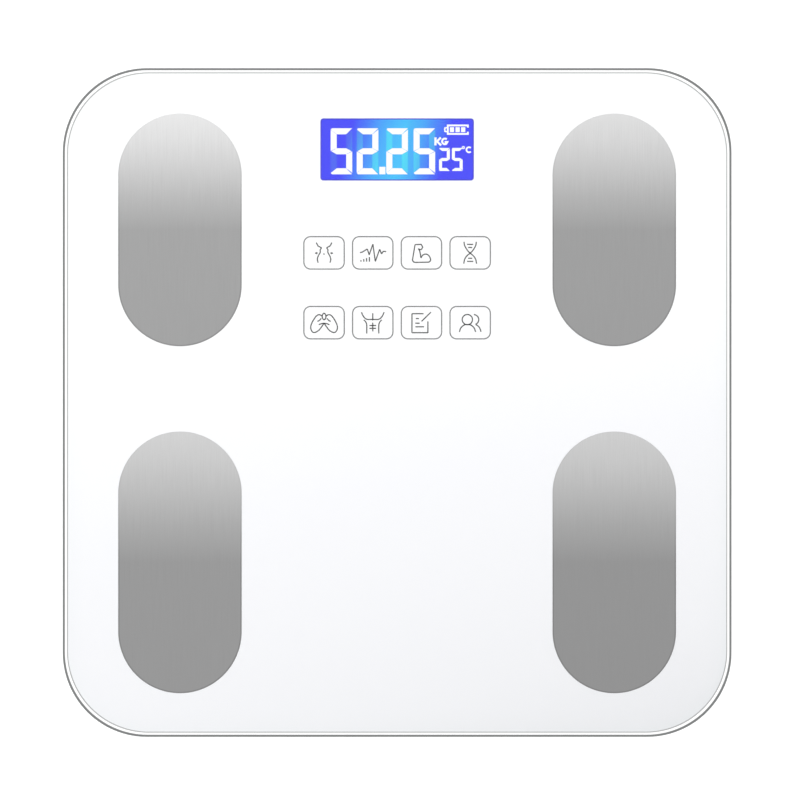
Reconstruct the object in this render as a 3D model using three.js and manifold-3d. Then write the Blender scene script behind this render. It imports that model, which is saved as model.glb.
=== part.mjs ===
// Digital bathroom scale: a square glass platform with four steel electrodes, carried by a
// shallow plastic tray that stands on four load-cell feet.
//
// Millimetres, +Z up. The origin is on the floor under the middle of the platform, +Y points to
// the display end and +X to the right of the person who reads it.
import * as THREE from "three";
import { mergeVertices } from "three/addons/utils/BufferGeometryUtils.js";
import Module from "manifold-3d";

// ---------------------------------------------------------------- driving dimensions

// Overall
const WIDTH = 260; // glass, left to right
const DEPTH = 260; // glass, front to back
const HEIGHT = 25; // floor to the top of the glass
const CORNER = 32.3; // corner radius of the glass, seen from above
const BOND = 0.02; // glue line between two faces that touch
const RUN = 0.3; // clearance around a piece that is dropped in or moves

// Glass and what is stuck to it
const GLASS_THICKNESS = 5;
const GROUND_WIDTH = 1.6; // ground slope around the top face
const GROUND_DROP = 1.2; // how far that slope falls
const ARRIS = 0.6; // small bevel around the lower face
const FILM_THICKNESS = 0.25;
const TAPE_THICKNESS = 0.5;
const TAPE_WIDTH = 7;

// Electrodes: capsules that stand beside the middle, longer at the front
const ELECTRODE_WIDTH = 48;
const ELECTRODE_THICKNESS = 0.3;
const ELECTRODE_BEVEL = 0.12;
const ELECTRODE_SIDE_MARGIN = 21.6; // glass edge to the long side of a pad
const REAR_ELECTRODE_LENGTH = 90.4;
const REAR_ELECTRODE_MARGIN = 17.75; // rear glass edge to the pad
const FRONT_ELECTRODE_LENGTH = 101.7;
const FRONT_ELECTRODE_MARGIN = 17; // front glass edge to the pad
const STUD_RADIUS = 1.5;
const STUD_HOLE_RADIUS = 2;
const STUD_END_MARGIN = 25; // inner end of a pad to its stud
const STUD_REACH = 2.1; // how far a stud stands out under the film

// Display window
const WINDOW_WIDTH = 59.8;
const WINDOW_DEPTH = 24.3;
const WINDOW_CORNER = 1.2;
const WINDOW_REAR_MARGIN = 19.45; // rear glass edge to the window

// Tray
const TRAY_INSET = 2; // glass edge to the tray's wall
const TRAY_TAPER = 8; // how much further in the underside's edge is
const TRAY_TAPER_RISE = 6; // height over which the wall leans out
const TRAY_EDGE = 1; // bevel at the underside's edge
const FLOOR_GAP = 4.5; // floor to the tray's underside
const BASE_WALL = 2;
const SIDE_WALL = 2.2;
const RIM_WIDTH = 9; // flange that the tape sticks to
const RIM_THICKNESS = 2;
const RIB_WIDTH = 1.6;
const RIB_HEIGHT = 3.5;

// Feet
const FOOT_INSET = 40; // glass edge to the centre of a foot
const FOOT_RADIUS = 16.2;
const FOOT_FLANGE = 1.6; // how far the captive flange stands out
const FOOT_FLANGE_THICKNESS = 1.2;
const FOOT_WALL = 1.8;
const FOOT_FLOOR = 1.4;
const FOOT_HUB_RADIUS = 6;
const FOOT_TRAVEL_GAP = 0.6; // hub to the load cell's tongue
const RUBBER_RADIUS = 13.2;
const RUBBER_STAND = 2; // how far the rubber holds the cup off the floor
const RUBBER_THICKNESS = 3.15;
const RUBBER_EDGE = 1.2;

// Load cells: square spring-steel plates with a tongue in a window
const LOAD_CELL_SIDE = 34;
const LOAD_CELL_THICKNESS = 2.2;
const LOAD_CELL_CORNER = 4;
const LOAD_CELL_WINDOW = 23;
const TONGUE_WIDTH = 9;
const TONGUE_PAD_WIDTH = 13;
const TONGUE_PAD_LENGTH = 10;
const LOAD_CELL_DROP = 3.25; // retainer's top face to the load cell
const RETAINER_MARGIN = 4.2; // plate outside the cup's flange
const RETAINER_CORNER = 8.7;
const RETAINER_THICKNESS = 1.8;
const RETAINER_EDGE = 0.75; // plastic outside a sunk screw head
const RETAINER_POST_RADIUS = 1.5;
const RETAINER_POST_GAP = 0.95; // flange to a corner post
const POCKET_WALL = 2;
const POCKET_CEILING = 1.4;
const TONGUE_ROOM = 1.8; // recess over the tongue

// Screws
const SCREW_RADIUS = 1;
const SCREW_LENGTH = 5.6;
const SCREW_HEAD_RADIUS = 1.9;
const SCREW_HEAD_HEIGHT = 1.1;
const SCREW_SLOT_WIDTH = 0.5;
const SCREW_SLOT_DEPTH = 0.5;
const PILOT_CLEARANCE = 0.05;
const BOSS_WALL = 1.6;

// Battery box, two AAA cells side by side
const CELL_RADIUS = 5.25;
const CELL_LENGTH = 44.5;
const CELL_NUB_RADIUS = 1.9;
const CELL_NUB_LENGTH = 0.9;
const CELL_CRIMP = 0.6;
const CELL_GAP = 0.5;
const SPRING_ROOM = 4.5; // length of a seated spring
const SPRING_WIRE = 0.3; // radius
const SPRING_TURNS = 2.5;
const CONTACT_THICKNESS = 0.4;
const BOX_WALL = 1.6;
const BOX_LEDGE = 2.8; // ledge that the door closes against
const BOX_CENTRE_Y = 20;
const DOOR_THICKNESS = 1.8;
const DOOR_CELL_GAP = 0.8;
const DOOR_CORNER = 1.5;
const DOOR_TAB_WIDTH = 8;
const DOOR_TAB_REACH = 2.4;
const DOOR_TAB_THICKNESS = 0.9;
const DOOR_TAB_SPACING = 32;
const DOOR_GRIP_WIDTH = 12;
const DOOR_GRIP_REACH = 1.6;
const FINGER_ROOM = 5; // scoop in the tray beside the grip

// Electronics
const PCB_WIDTH = 76;
const PCB_DEPTH = 40;
const PCB_THICKNESS = 1.6;
const PCB_DROP = 5.8; // film to the top of the board
const PCB_SCREW_INSET = 4.5;
const PCB_REAR_OFFSET = 2; // display centre to board centre
const BEZEL_WALL = 2.8;
const LCD_MARGIN = 2.1; // glass of the display past its window
const LCD_THICKNESS = 2;
const BACKLIGHT_LIFT = 1; // board to the light guide
const ZEBRA_WIDTH = 2;
const CHIP_SIDE = 10;
const CHIP_HEIGHT = 1.4;
const SWITCH_SIDE = 6;
const SWITCH_HEIGHT = 3.5;
const SWITCH_BORE_DEPTH = 2.4;
const PLUNGER_RADIUS = 1.6;
const PLUNGER_INSERTION = 1.2; // length of the plunger inside the switch
const BUTTON_X = 20;
const BUTTON_RADIUS = 4.4;
const BUTTON_FLANGE = 1.1;
const BUTTON_FLANGE_THICKNESS = 0.8;
const BUTTON_RECESS = 0.2; // button's face to the underside

// Leads
const LOAD_LEAD_RADIUS = 0.75;
const THIN_LEAD_RADIUS = 0.55;
const CHANNEL_ROOM = 1.5; // pocket's wall to the lead on each side
const LEAD_GAP = 0.3; // lead to the pad that it is soldered to
const CORRIDOR_X = 42; // leads from the front run beside the battery box
const PAD_ROW_INSET = 2.2; // front edge of the board to its row of pads

// Facets
const CORNER_STEPS = 7; // per quarter turn of a large corner
const SMALL_CORNER_STEPS = 3;
const ROUND_STEPS = 20; // around a foot or a cell
const SMALL_ROUND_STEPS = 8; // around a screw, stud or boss
const WIRE_SIDES = 6;
const COIL_STEPS = 24;
const LEAD_STEP = 7; // length of one facet along a lead
const MARGIN = 1; // how far a cutting tool stands out of what it cuts

// ---------------------------------------------------------------- levels and places

const Z_GLASS = HEIGHT - GLASS_THICKNESS;
const Z_FILM = Z_GLASS - BOND - FILM_THICKNESS;
const Z_TAPE = Z_FILM - BOND - TAPE_THICKNESS;
const Z_RIM = Z_TAPE - BOND;
const Z_BASE = FLOOR_GAP;
const Z_TRAY_FLOOR = Z_BASE + BASE_WALL;

const Z_RETAINER_TOP = Z_BASE + RETAINER_THICKNESS;
const Z_SCREW_HEAD = Z_BASE + RUN / 3;
const Z_LOAD_CELL = Z_RETAINER_TOP + LOAD_CELL_DROP;
const Z_LOAD_CELL_TOP = Z_LOAD_CELL + LOAD_CELL_THICKNESS;
const Z_POCKET = Z_LOAD_CELL_TOP + 2 * BOND;
const Z_TONGUE_ROOM = Z_POCKET + TONGUE_ROOM;
const Z_POCKET_TOP = Z_TONGUE_ROOM + POCKET_CEILING;
const FLANGE_RADIUS = FOOT_RADIUS + FOOT_FLANGE;
const Z_FLANGE = Z_RETAINER_TOP + RUN / 3;
const Z_FLANGE_TOP = Z_FLANGE + FOOT_FLANGE_THICKNESS;
const RETAINER_SIDE = 2 * (FLANGE_RADIUS + RETAINER_MARGIN);
const POCKET_SIDE = RETAINER_SIDE + 2 * RUN;
const FOOT_X = WIDTH / 2 - FOOT_INSET;
const FOOT_Y = DEPTH / 2 - FOOT_INSET;
const RETAINER_CUT_BACK = RETAINER_CORNER * (1 - Math.SQRT1_2); // how far a round corner falls short
const SCREW_CORNER =
  POCKET_SIDE / 2 - RETAINER_CUT_BACK - (SCREW_HEAD_RADIUS + RETAINER_EDGE) * Math.SQRT1_2;

const Z_DOOR_TOP = Z_BASE + DOOR_THICKNESS;
const Z_LEDGE = Z_DOOR_TOP + RUN / 3;
const Z_CELL = Z_DOOR_TOP + DOOR_CELL_GAP + CELL_RADIUS;
const Z_BOX_CEILING = Z_CELL + CELL_RADIUS + CELL_GAP;
const BOX_LENGTH = CELL_LENGTH + SPRING_ROOM + 2 * CONTACT_THICKNESS + 4 * RUN;
const BOX_DEPTH = 4 * CELL_RADIUS + CELL_GAP + 4 * RUN;
const DOOR_LENGTH = BOX_LENGTH + 2 * BOX_LEDGE - 2 * RUN;
const DOOR_DEPTH = BOX_DEPTH + 2 * BOX_LEDGE - 2 * RUN;
const DOOR_HINGE_Y = BOX_CENTRE_Y + DOOR_DEPTH / 2 - DOOR_THICKNESS / 2;
const CELL_PITCH = 2 * CELL_RADIUS + CELL_GAP;

const WINDOW_Y = DEPTH / 2 - WINDOW_REAR_MARGIN - WINDOW_DEPTH / 2;
const LCD_WIDTH = WINDOW_WIDTH + 2 * LCD_MARGIN;
const LCD_DEPTH = WINDOW_DEPTH + 2 * LCD_MARGIN;
const Z_PCB_TOP = Z_FILM - PCB_DROP;
const Z_PCB = Z_PCB_TOP - PCB_THICKNESS;
const Z_LCD_TOP = Z_FILM - 4 * BOND;
const Z_LCD = Z_LCD_TOP - LCD_THICKNESS;
const PCB_Y = WINDOW_Y - PCB_REAR_OFFSET;
const PCB_FRONT = PCB_Y - PCB_DEPTH / 2;
const PAD_ROW_Y = PCB_FRONT + PAD_ROW_INSET;
const Z_SWITCH = Z_PCB - BOND - SWITCH_HEIGHT;
const Z_BUTTON_FLANGE = Z_TRAY_FLOOR + RUN / 3;
const Z_BUTTON_TOP = Z_BUTTON_FLANGE + BUTTON_FLANGE_THICKNESS;

const REAR_ELECTRODE_Y = DEPTH / 2 - REAR_ELECTRODE_MARGIN - REAR_ELECTRODE_LENGTH / 2;
const FRONT_ELECTRODE_Y = FRONT_ELECTRODE_MARGIN + FRONT_ELECTRODE_LENGTH / 2 - DEPTH / 2;
const ELECTRODE_X = WIDTH / 2 - ELECTRODE_SIDE_MARGIN - ELECTRODE_WIDTH / 2;

// Each foot stands at its corner, turned so that its screws lie across the diagonal.
const FEET = [
  { name: "rear_right", x: FOOT_X, y: FOOT_Y, turn: 0 },
  { name: "rear_left", x: -FOOT_X, y: FOOT_Y, turn: Math.PI / 2 },
  { name: "front_left", x: -FOOT_X, y: -FOOT_Y, turn: Math.PI },
  { name: "front_right", x: FOOT_X, y: -FOOT_Y, turn: -Math.PI / 2 },
];
const ELECTRODES = [
  { name: "rear_right", side: 1, y: REAR_ELECTRODE_Y, length: REAR_ELECTRODE_LENGTH },
  { name: "rear_left", side: -1, y: REAR_ELECTRODE_Y, length: REAR_ELECTRODE_LENGTH },
  { name: "front_left", side: -1, y: FRONT_ELECTRODE_Y, length: FRONT_ELECTRODE_LENGTH },
  { name: "front_right", side: 1, y: FRONT_ELECTRODE_Y, length: FRONT_ELECTRODE_LENGTH },
].map((e) => ({
  ...e,
  x: e.side * ELECTRODE_X,
  studY: e.y - Math.sign(e.y) * (e.length / 2 - STUD_END_MARGIN),
}));

// ---------------------------------------------------------------- materials

function finish(color, roughness, metalness = 0) {
  return new THREE.MeshStandardMaterial({ color, roughness, metalness });
}

const clearGlass = finish(0xf4f7f8, 0.05);
const whiteFilm = finish(0xf7f7f8, 0.4);
const foamTape = finish(0xe4e4e0, 0.8);
const brushedSteel = finish(0xb4b6b8, 0.35, 1);
const springSteel = finish(0x9a9c9e, 0.45, 1);
const nickel = finish(0xc9c7c0, 0.3, 1);
const trayPlastic = finish(0xe9eaea, 0.55);
const retainerPlastic = finish(0xd9dada, 0.6);
const softRubber = finish(0x4a4c4e, 0.85);
const displayGlass = finish(0x4f6cff, 0.12);
const lightGuide = finish(0xf2f6ff, 0.25);
const bezelPlastic = finish(0xf1f1f1, 0.5);
const circuitBoard = finish(0x1f6b3d, 0.45);
const chipEpoxy = finish(0x1b1b1d, 0.4);
const zebraRubber = finish(0xd98fa0, 0.7);
const switchMetal = finish(0xb9bbbd, 0.35, 1);
const batterySleeve = finish(0x2f6fb0, 0.35);
const greyWire = finish(0x9fa1a4, 0.6);
const whiteWire = finish(0xe8e8e4, 0.6);
const redWire = finish(0xc02a22, 0.55);
const blackWire = finish(0x202022, 0.55);

// ---------------------------------------------------------------- shape helpers

const wasm = await Module();
wasm.setup();

// Points of an arc about (cx, cy), both ends included.
function arc(cx, cy, radius, from, to, steps) {
  return Array.from({ length: steps + 1 }, (_, i) => {
    const angle = from + ((to - from) * i) / steps;
    return new THREE.Vector2(cx + radius * Math.cos(angle), cy + radius * Math.sin(angle));
  });
}

function roundedRect(width, depth, radius, steps = SMALL_CORNER_STEPS) {
  const x = width / 2 - radius;
  const y = depth / 2 - radius;
  const quarter = Math.PI / 2;
  return [
    [x, y],
    [-x, y],
    [-x, -y],
    [x, -y],
  ].flatMap(([cx, cy], i) => arc(cx, cy, radius, i * quarter, (i + 1) * quarter, steps));
}

// A rectangle with full half-circle ends at the top and bottom.
function capsule(width, length, steps) {
  const y = (length - width) / 2;
  return [
    ...arc(0, y, width / 2, 0, Math.PI, steps),
    ...arc(0, -y, width / 2, Math.PI, 2 * Math.PI, steps),
  ];
}

function circle(radius, steps = SMALL_ROUND_STEPS) {
  return arc(0, 0, radius, 0, 2 * Math.PI, steps).slice(0, steps);
}

// An outline pushed straight up from z0 to z1.
function slab(outline, z0, z1, x = 0, y = 0) {
  const shape = new THREE.Shape(outline);
  const geometry = new THREE.ExtrudeGeometry(shape, { depth: z1 - z0, bevelEnabled: false });
  return geometry.translate(x, y, z0);
}

function box(x0, x1, y0, y1, z0, z1) {
  const geometry = new THREE.BoxGeometry(x1 - x0, y1 - y0, z1 - z0);
  return geometry.translate((x0 + x1) / 2, (y0 + y1) / 2, (z0 + z1) / 2);
}

function pin(radius, z0, z1, x = 0, y = 0, steps = SMALL_ROUND_STEPS) {
  return slab(circle(radius, steps), z0, z1, x, y);
}

// A stack of outlines with equal point counts, skinned from the lowest to the highest.
function loft(sections) {
  const count = sections[0].outline.length;
  const positions = sections.flatMap(({ outline, z }) => outline.flatMap((p) => [p.x, p.y, z]));
  const index = [];
  for (let s = 0; s + 1 < sections.length; s += 1) {
    for (let i = 0; i < count; i += 1) {
      const a = s * count + i;
      const b = s * count + ((i + 1) % count);
      index.push(a, b, b + count, a, b + count, a + count);
    }
  }
  const top = (sections.length - 1) * count;
  for (const [a, b, c] of THREE.ShapeUtils.triangulateShape(sections[0].outline, [])) {
    index.push(a, c, b, top + a, top + b, top + c);
  }
  const geometry = new THREE.BufferGeometry();
  geometry.setAttribute("position", new THREE.Float32BufferAttribute(positions, 3));
  geometry.setIndex(index);
  return geometry;
}

// A profile of [radius, z] turned about the Z axis.
function turned(profile, steps = ROUND_STEPS) {
  const points = profile.map(([r, z]) => new THREE.Vector2(r, z));
  return new THREE.LatheGeometry(points, steps).rotateX(Math.PI / 2);
}

// A round wire along a smooth curve.
function wire(curve, radius, steps) {
  const shape = new THREE.Shape(circle(radius, WIRE_SIDES));
  return new THREE.ExtrudeGeometry(shape, { steps, extrudePath: curve });
}

function solidOf(geometry) {
  const bare = geometry.clone();
  bare.deleteAttribute("normal");
  bare.deleteAttribute("uv");
  const merged = mergeVertices(bare, 1e-4);
  const mesh = new wasm.Mesh({
    numProp: 3,
    vertProperties: merged.getAttribute("position").array,
    triVerts: new Uint32Array(merged.index.array),
  });
  return new wasm.Manifold(mesh);
}

// The first geometry with the added ones joined on, held within a limit, and the cut ones taken away.
function carve(base, { add = [], within = null, cut = [] }) {
  let solid = solidOf(base);
  for (const geometry of add) solid = solid.add(solidOf(geometry));
  if (within) solid = solid.intersect(solidOf(within));
  for (const geometry of cut) solid = solid.subtract(solidOf(geometry));
  const { vertProperties, triVerts } = solid.getMesh();
  const geometry = new THREE.BufferGeometry();
  geometry.setAttribute("position", new THREE.BufferAttribute(vertProperties, 3));
  geometry.setIndex(new THREE.BufferAttribute(triVerts, 1));
  geometry.computeVertexNormals();
  return geometry;
}

function piece(name, geometry, material) {
  const mesh = new THREE.Mesh(geometry, material);
  mesh.name = name;
  return mesh;
}

// The same tool at each foot, turned with the foot.
function atFeet(makeTool) {
  return FEET.map((foot) => makeTool().rotateZ(foot.turn).translate(foot.x, foot.y, 0));
}

// ---------------------------------------------------------------- platform

// Outline of the glass, or of anything concentric with it that lies inset from its edge.
function platformOutline(inset) {
  return roundedRect(WIDTH - 2 * inset, DEPTH - 2 * inset, CORNER - inset, CORNER_STEPS);
}

function studHoles(z0, z1) {
  return ELECTRODES.map((e) => pin(STUD_HOLE_RADIUS, z0 - MARGIN, z1 + MARGIN, e.x, e.studY));
}

function glassPlatform() {
  const plate = loft([
    { outline: platformOutline(ARRIS), z: Z_GLASS },
    { outline: platformOutline(0), z: Z_GLASS + ARRIS },
    { outline: platformOutline(0), z: HEIGHT - GROUND_DROP },
    { outline: platformOutline(GROUND_WIDTH), z: HEIGHT },
  ]);
  return piece("glass_platform", carve(plate, { cut: studHoles(Z_GLASS, HEIGHT) }), clearGlass);
}

function backingFilm() {
  const top = Z_FILM + FILM_THICKNESS;
  const sheet = slab(platformOutline(TRAY_INSET), Z_FILM, top);
  const opening = roundedRect(WINDOW_WIDTH, WINDOW_DEPTH, WINDOW_CORNER);
  const window = slab(opening, Z_FILM - MARGIN, top + MARGIN, 0, WINDOW_Y);
  return piece("backing_film", carve(sheet, { cut: [window, ...studHoles(Z_FILM, top)] }), whiteFilm);
}

function bondTape() {
  const inset = TRAY_INSET + (RIM_WIDTH - TAPE_WIDTH) / 2;
  const top = Z_TAPE + TAPE_THICKNESS;
  const sheet = slab(platformOutline(inset), Z_TAPE, top);
  const middle = slab(platformOutline(inset + TAPE_WIDTH), Z_TAPE - MARGIN, top + MARGIN);
  return piece("bond_tape", carve(sheet, { cut: [middle] }), foamTape);
}

function electrode({ name, x, y, length, studY }) {
  const z0 = HEIGHT + BOND;
  const z1 = z0 + ELECTRODE_THICKNESS;
  const outline = capsule(ELECTRODE_WIDTH, length, 2 * CORNER_STEPS);
  const bevel = 2 * ELECTRODE_BEVEL;
  const narrowed = capsule(ELECTRODE_WIDTH - bevel, length - bevel, 2 * CORNER_STEPS);
  const pad = loft([
    { outline, z: z0 },
    { outline, z: z1 - ELECTRODE_BEVEL },
    { outline: narrowed, z: z1 },
  ]).translate(x, y, 0);
  const stud = pin(STUD_RADIUS, Z_FILM - STUD_REACH, z0 + ELECTRODE_THICKNESS / 2, x, studY);
  return piece(`electrode_${name}`, carve(pad, { add: [stud] }), brushedSteel);
}

// ---------------------------------------------------------------- tray

// The tray's outside at full size, or shrunk by a wall and raised by a floor for its inside.
function trayBody(wall, z0, z1) {
  const lean = (inset, z) => ({ outline: platformOutline(TRAY_INSET + wall + inset), z });
  return loft([
    lean(TRAY_TAPER + TRAY_EDGE, z0),
    lean(TRAY_TAPER, z0 + TRAY_EDGE),
    lean(0, z0 + TRAY_TAPER_RISE),
    lean(0, z1),
  ]);
}

function trayRibs() {
  const top = Z_TRAY_FLOOR + RIB_HEIGHT;
  const bottom = Z_TRAY_FLOOR - BASE_WALL / 2;
  const reachX = WIDTH / 2 - TRAY_INSET - SIDE_WALL;
  const reachY = DEPTH / 2 - TRAY_INSET - SIDE_WALL;
  const sideX = FOOT_X - POCKET_SIDE / 2 - POCKET_WALL - MARGIN - RIB_WIDTH;
  const sideY = FOOT_Y - POCKET_SIDE / 2 - POCKET_WALL - MARGIN - RIB_WIDTH;
  const along = [sideY, -sideY, -sideY / 2].map((y) =>
    box(-reachX, reachX, y - RIB_WIDTH / 2, y + RIB_WIDTH / 2, bottom, top),
  );
  const across = [sideX, -sideX].map((x) =>
    box(x - RIB_WIDTH / 2, x + RIB_WIDTH / 2, -reachY, reachY, bottom, top),
  );
  return [...along, ...across];
}

// A square block around each foot, hollow above its ceiling so that its walls carry the glass.
function pocketBlocks() {
  const side = POCKET_SIDE + 2 * POCKET_WALL;
  return atFeet(() => slab(roundedRect(side, side, RETAINER_CORNER), Z_BASE + TRAY_EDGE, Z_RIM));
}

function pocketCuts() {
  const inner = () => roundedRect(POCKET_SIDE, POCKET_SIDE, RETAINER_CORNER);
  const room = LOAD_CELL_WINDOW + 2 * RUN;
  const leadZ = Z_TONGUE_ROOM - LOAD_LEAD_RADIUS - RUN;
  const blockEdge = POCKET_SIDE / 2 + POCKET_WALL;
  return [
    ...atFeet(() => slab(inner(), Z_BASE - MARGIN, Z_POCKET)),
    ...atFeet(() => slab(roundedRect(room, room, 2), Z_POCKET - MARGIN, Z_TONGUE_ROOM)),
    ...atFeet(() => slab(inner(), Z_POCKET_TOP, Z_RIM + MARGIN)),
    ...atFeet(() =>
      box(
        -blockEdge - MARGIN,
        -room / 2 + MARGIN,
        -LOAD_LEAD_RADIUS - CHANNEL_ROOM,
        LOAD_LEAD_RADIUS + CHANNEL_ROOM,
        leadZ - LOAD_LEAD_RADIUS - RUN,
        leadZ + LOAD_LEAD_RADIUS + RUN,
      ),
    ),
  ];
}

// Corner posts in each pocket that take the retainer's two screws.
function pocketPosts() {
  const radius = SCREW_RADIUS + BOSS_WALL;
  const bottom = Z_RETAINER_TOP + RUN / 3;
  return [SCREW_CORNER, -SCREW_CORNER].flatMap((place) =>
    atFeet(() => pin(radius, bottom, Z_POCKET + POCKET_CEILING, place, -place)),
  );
}

function pocketPilots() {
  const radius = SCREW_RADIUS + PILOT_CLEARANCE;
  const top = Z_SCREW_HEAD + SCREW_HEAD_HEIGHT + SCREW_LENGTH + RUN;
  return [SCREW_CORNER, -SCREW_CORNER].flatMap((place) =>
    atFeet(() => pin(radius, Z_BASE, top, place, -place)),
  );
}

function batteryBox() {
  const length = BOX_LENGTH + 2 * BOX_LEDGE + 2 * BOX_WALL;
  const depth = BOX_DEPTH + 2 * BOX_LEDGE + 2 * BOX_WALL;
  const outline = roundedRect(length, depth, DOOR_CORNER + BOX_WALL);
  return slab(outline, Z_BASE + TRAY_EDGE, Z_BOX_CEILING + BOX_WALL / 2, 0, BOX_CENTRE_Y);
}

// Outline of the door, or of its hole when grown by a gap, with round corners at the grip and
// square ones at the hinge.
function doorOutline(gap, rear) {
  const x = DOOR_LENGTH / 2 + gap;
  const front = BOX_CENTRE_Y - DOOR_DEPTH / 2 - gap;
  const radius = DOOR_CORNER + gap;
  return [
    ...arc(radius - x, front + radius, radius, Math.PI, 1.5 * Math.PI, SMALL_CORNER_STEPS),
    ...arc(x - radius, front + radius, radius, 1.5 * Math.PI, 2 * Math.PI, SMALL_CORNER_STEPS),
    new THREE.Vector2(x, rear),
    new THREE.Vector2(-x, rear),
  ];
}

function batteryBoxCuts() {
  const hingeWall = BOX_CENTRE_Y + DOOR_DEPTH / 2 + RUN;
  const gripWall = BOX_CENTRE_Y - DOOR_DEPTH / 2 - RUN;
  const inside = box(
    -BOX_LENGTH / 2,
    BOX_LENGTH / 2,
    BOX_CENTRE_Y - BOX_DEPTH / 2,
    BOX_CENTRE_Y + BOX_DEPTH / 2,
    Z_BASE,
    Z_BOX_CEILING,
  );
  // The tabs swing up into these slots as the door swings down.
  const tabSlots = [-1, 1].map((side) => {
    const x = (side * DOOR_TAB_SPACING) / 2;
    const halfWidth = DOOR_TAB_WIDTH / 2 + RUN;
    const reach = DOOR_THICKNESS / 2 + DOOR_TAB_REACH + RUN;
    return box(
      x - halfWidth,
      x + halfWidth,
      hingeWall - BOX_LEDGE - MARGIN,
      hingeWall + DOOR_TAB_REACH + RUN,
      Z_DOOR_TOP - DOOR_TAB_THICKNESS - RUN / 3,
      Z_BASE + DOOR_THICKNESS / 2 + reach,
    );
  });
  const fingerRoom = box(
    -DOOR_GRIP_WIDTH / 2 - MARGIN,
    DOOR_GRIP_WIDTH / 2 + MARGIN,
    gripWall - FINGER_ROOM,
    gripWall + MARGIN,
    Z_BASE - MARGIN,
    Z_LEDGE,
  );
  return [inside, slab(doorOutline(RUN, hingeWall), Z_BASE - MARGIN, Z_LEDGE), ...tabSlots, fingerRoom];
}

// Floor over the finger scoop, so that the scoop doesn't open into the tray.
function fingerFloor() {
  const gripWall = BOX_CENTRE_Y - DOOR_DEPTH / 2 - RUN;
  const halfWidth = DOOR_GRIP_WIDTH / 2 + MARGIN + BOX_WALL;
  return box(
    -halfWidth,
    halfWidth,
    gripWall - FINGER_ROOM - BOX_WALL,
    gripWall,
    Z_BASE + TRAY_EDGE,
    Z_LEDGE + BOX_WALL,
  );
}

function pcbPlaces(ySide) {
  const x = PCB_WIDTH / 2 - PCB_SCREW_INSET;
  const y = PCB_Y + ySide * (PCB_DEPTH / 2 - PAD_ROW_INSET);
  return [
    [x, y],
    [-x, y],
  ];
}

function pcbPosts() {
  const z0 = Z_BASE + TRAY_EDGE;
  return [...pcbPlaces(-1), ...pcbPlaces(1)].map(([x, y]) =>
    pin(SCREW_RADIUS + BOSS_WALL, z0, Z_PCB - BOND, x, y),
  );
}

function pcbPilots() {
  const depth = SCREW_LENGTH - PCB_THICKNESS + RUN;
  return pcbPlaces(-1).map(([x, y]) => pin(SCREW_RADIUS + PILOT_CLEARANCE, Z_PCB - depth, Z_PCB, x, y));
}

function buttonBore() {
  return pin(BUTTON_RADIUS + RUN, Z_BASE - MARGIN, Z_TRAY_FLOOR + MARGIN, BUTTON_X, WINDOW_Y, ROUND_STEPS);
}

function baseTray() {
  const rimOpening = platformOutline(TRAY_INSET + RIM_WIDTH);
  const outside = trayBody(0, Z_BASE, Z_RIM);
  const shell = carve(outside, {
    cut: [
      trayBody(SIDE_WALL, Z_TRAY_FLOOR, Z_RIM - RIM_THICKNESS),
      slab(rimOpening, Z_RIM - RIM_THICKNESS - MARGIN, Z_RIM + MARGIN),
    ],
  });
  const pockets = carve(shell, {
    add: [...trayRibs(), ...pocketBlocks(), batteryBox(), fingerFloor(), ...pcbPosts()],
    within: outside,
    cut: [...pocketCuts(), ...batteryBoxCuts(), ...pcbPilots(), buttonBore()],
  });
  return piece("base_tray", carve(pockets, { add: pocketPosts(), cut: pocketPilots() }), trayPlastic);
}

// ---------------------------------------------------------------- feet

function footCup(foot) {
  const rubberTop = RUBBER_THICKNESS + BOND;
  const floor = rubberTop + FOOT_FLOOR;
  const hubTop = Z_LOAD_CELL - FOOT_TRAVEL_GAP;
  const rubberWall = RUBBER_RADIUS + RUN / 2;
  const profile = [
    [0, rubberTop],
    [rubberWall, rubberTop],
    [rubberWall, RUBBER_STAND],
    [FOOT_RADIUS - 1, RUBBER_STAND],
    [FOOT_RADIUS, RUBBER_STAND + 1],
    [FOOT_RADIUS, Z_FLANGE],
    [FLANGE_RADIUS, Z_FLANGE],
    [FLANGE_RADIUS, Z_FLANGE_TOP],
    [FOOT_RADIUS - FOOT_WALL, Z_FLANGE_TOP],
    [FOOT_RADIUS - FOOT_WALL, floor],
    [FOOT_HUB_RADIUS, floor],
    [FOOT_HUB_RADIUS, hubTop],
    [0, hubTop],
  ];
  return piece(`foot_cup_${foot.name}`, turned(profile), retainerPlastic);
}

function footRubber(foot) {
  const profile = [
    [0, 0],
    [RUBBER_RADIUS - RUBBER_EDGE, 0],
    [RUBBER_RADIUS, RUBBER_EDGE],
    [RUBBER_RADIUS, RUBBER_THICKNESS],
    [0, RUBBER_THICKNESS],
  ];
  return piece(`foot_rubber_${foot.name}`, turned(profile), softRubber);
}

function loadCell(foot) {
  const side = LOAD_CELL_SIDE;
  const plate = slab(roundedRect(side, side, LOAD_CELL_CORNER), Z_LOAD_CELL, Z_LOAD_CELL_TOP);
  const opening = roundedRect(LOAD_CELL_WINDOW, LOAD_CELL_WINDOW, 2);
  const window = slab(opening, Z_LOAD_CELL - MARGIN, Z_LOAD_CELL_TOP + MARGIN);
  const framed = carve(plate, { cut: [window] });
  const root = LOAD_CELL_WINDOW / 2 + MARGIN;
  const tongue = box(0, root, -TONGUE_WIDTH / 2, TONGUE_WIDTH / 2, Z_LOAD_CELL, Z_LOAD_CELL_TOP);
  const pad = slab(roundedRect(TONGUE_PAD_LENGTH, TONGUE_PAD_WIDTH, 2), Z_LOAD_CELL, Z_LOAD_CELL_TOP);
  return piece(`load_cell_${foot.name}`, carve(framed, { add: [tongue, pad] }), springSteel);
}

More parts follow.
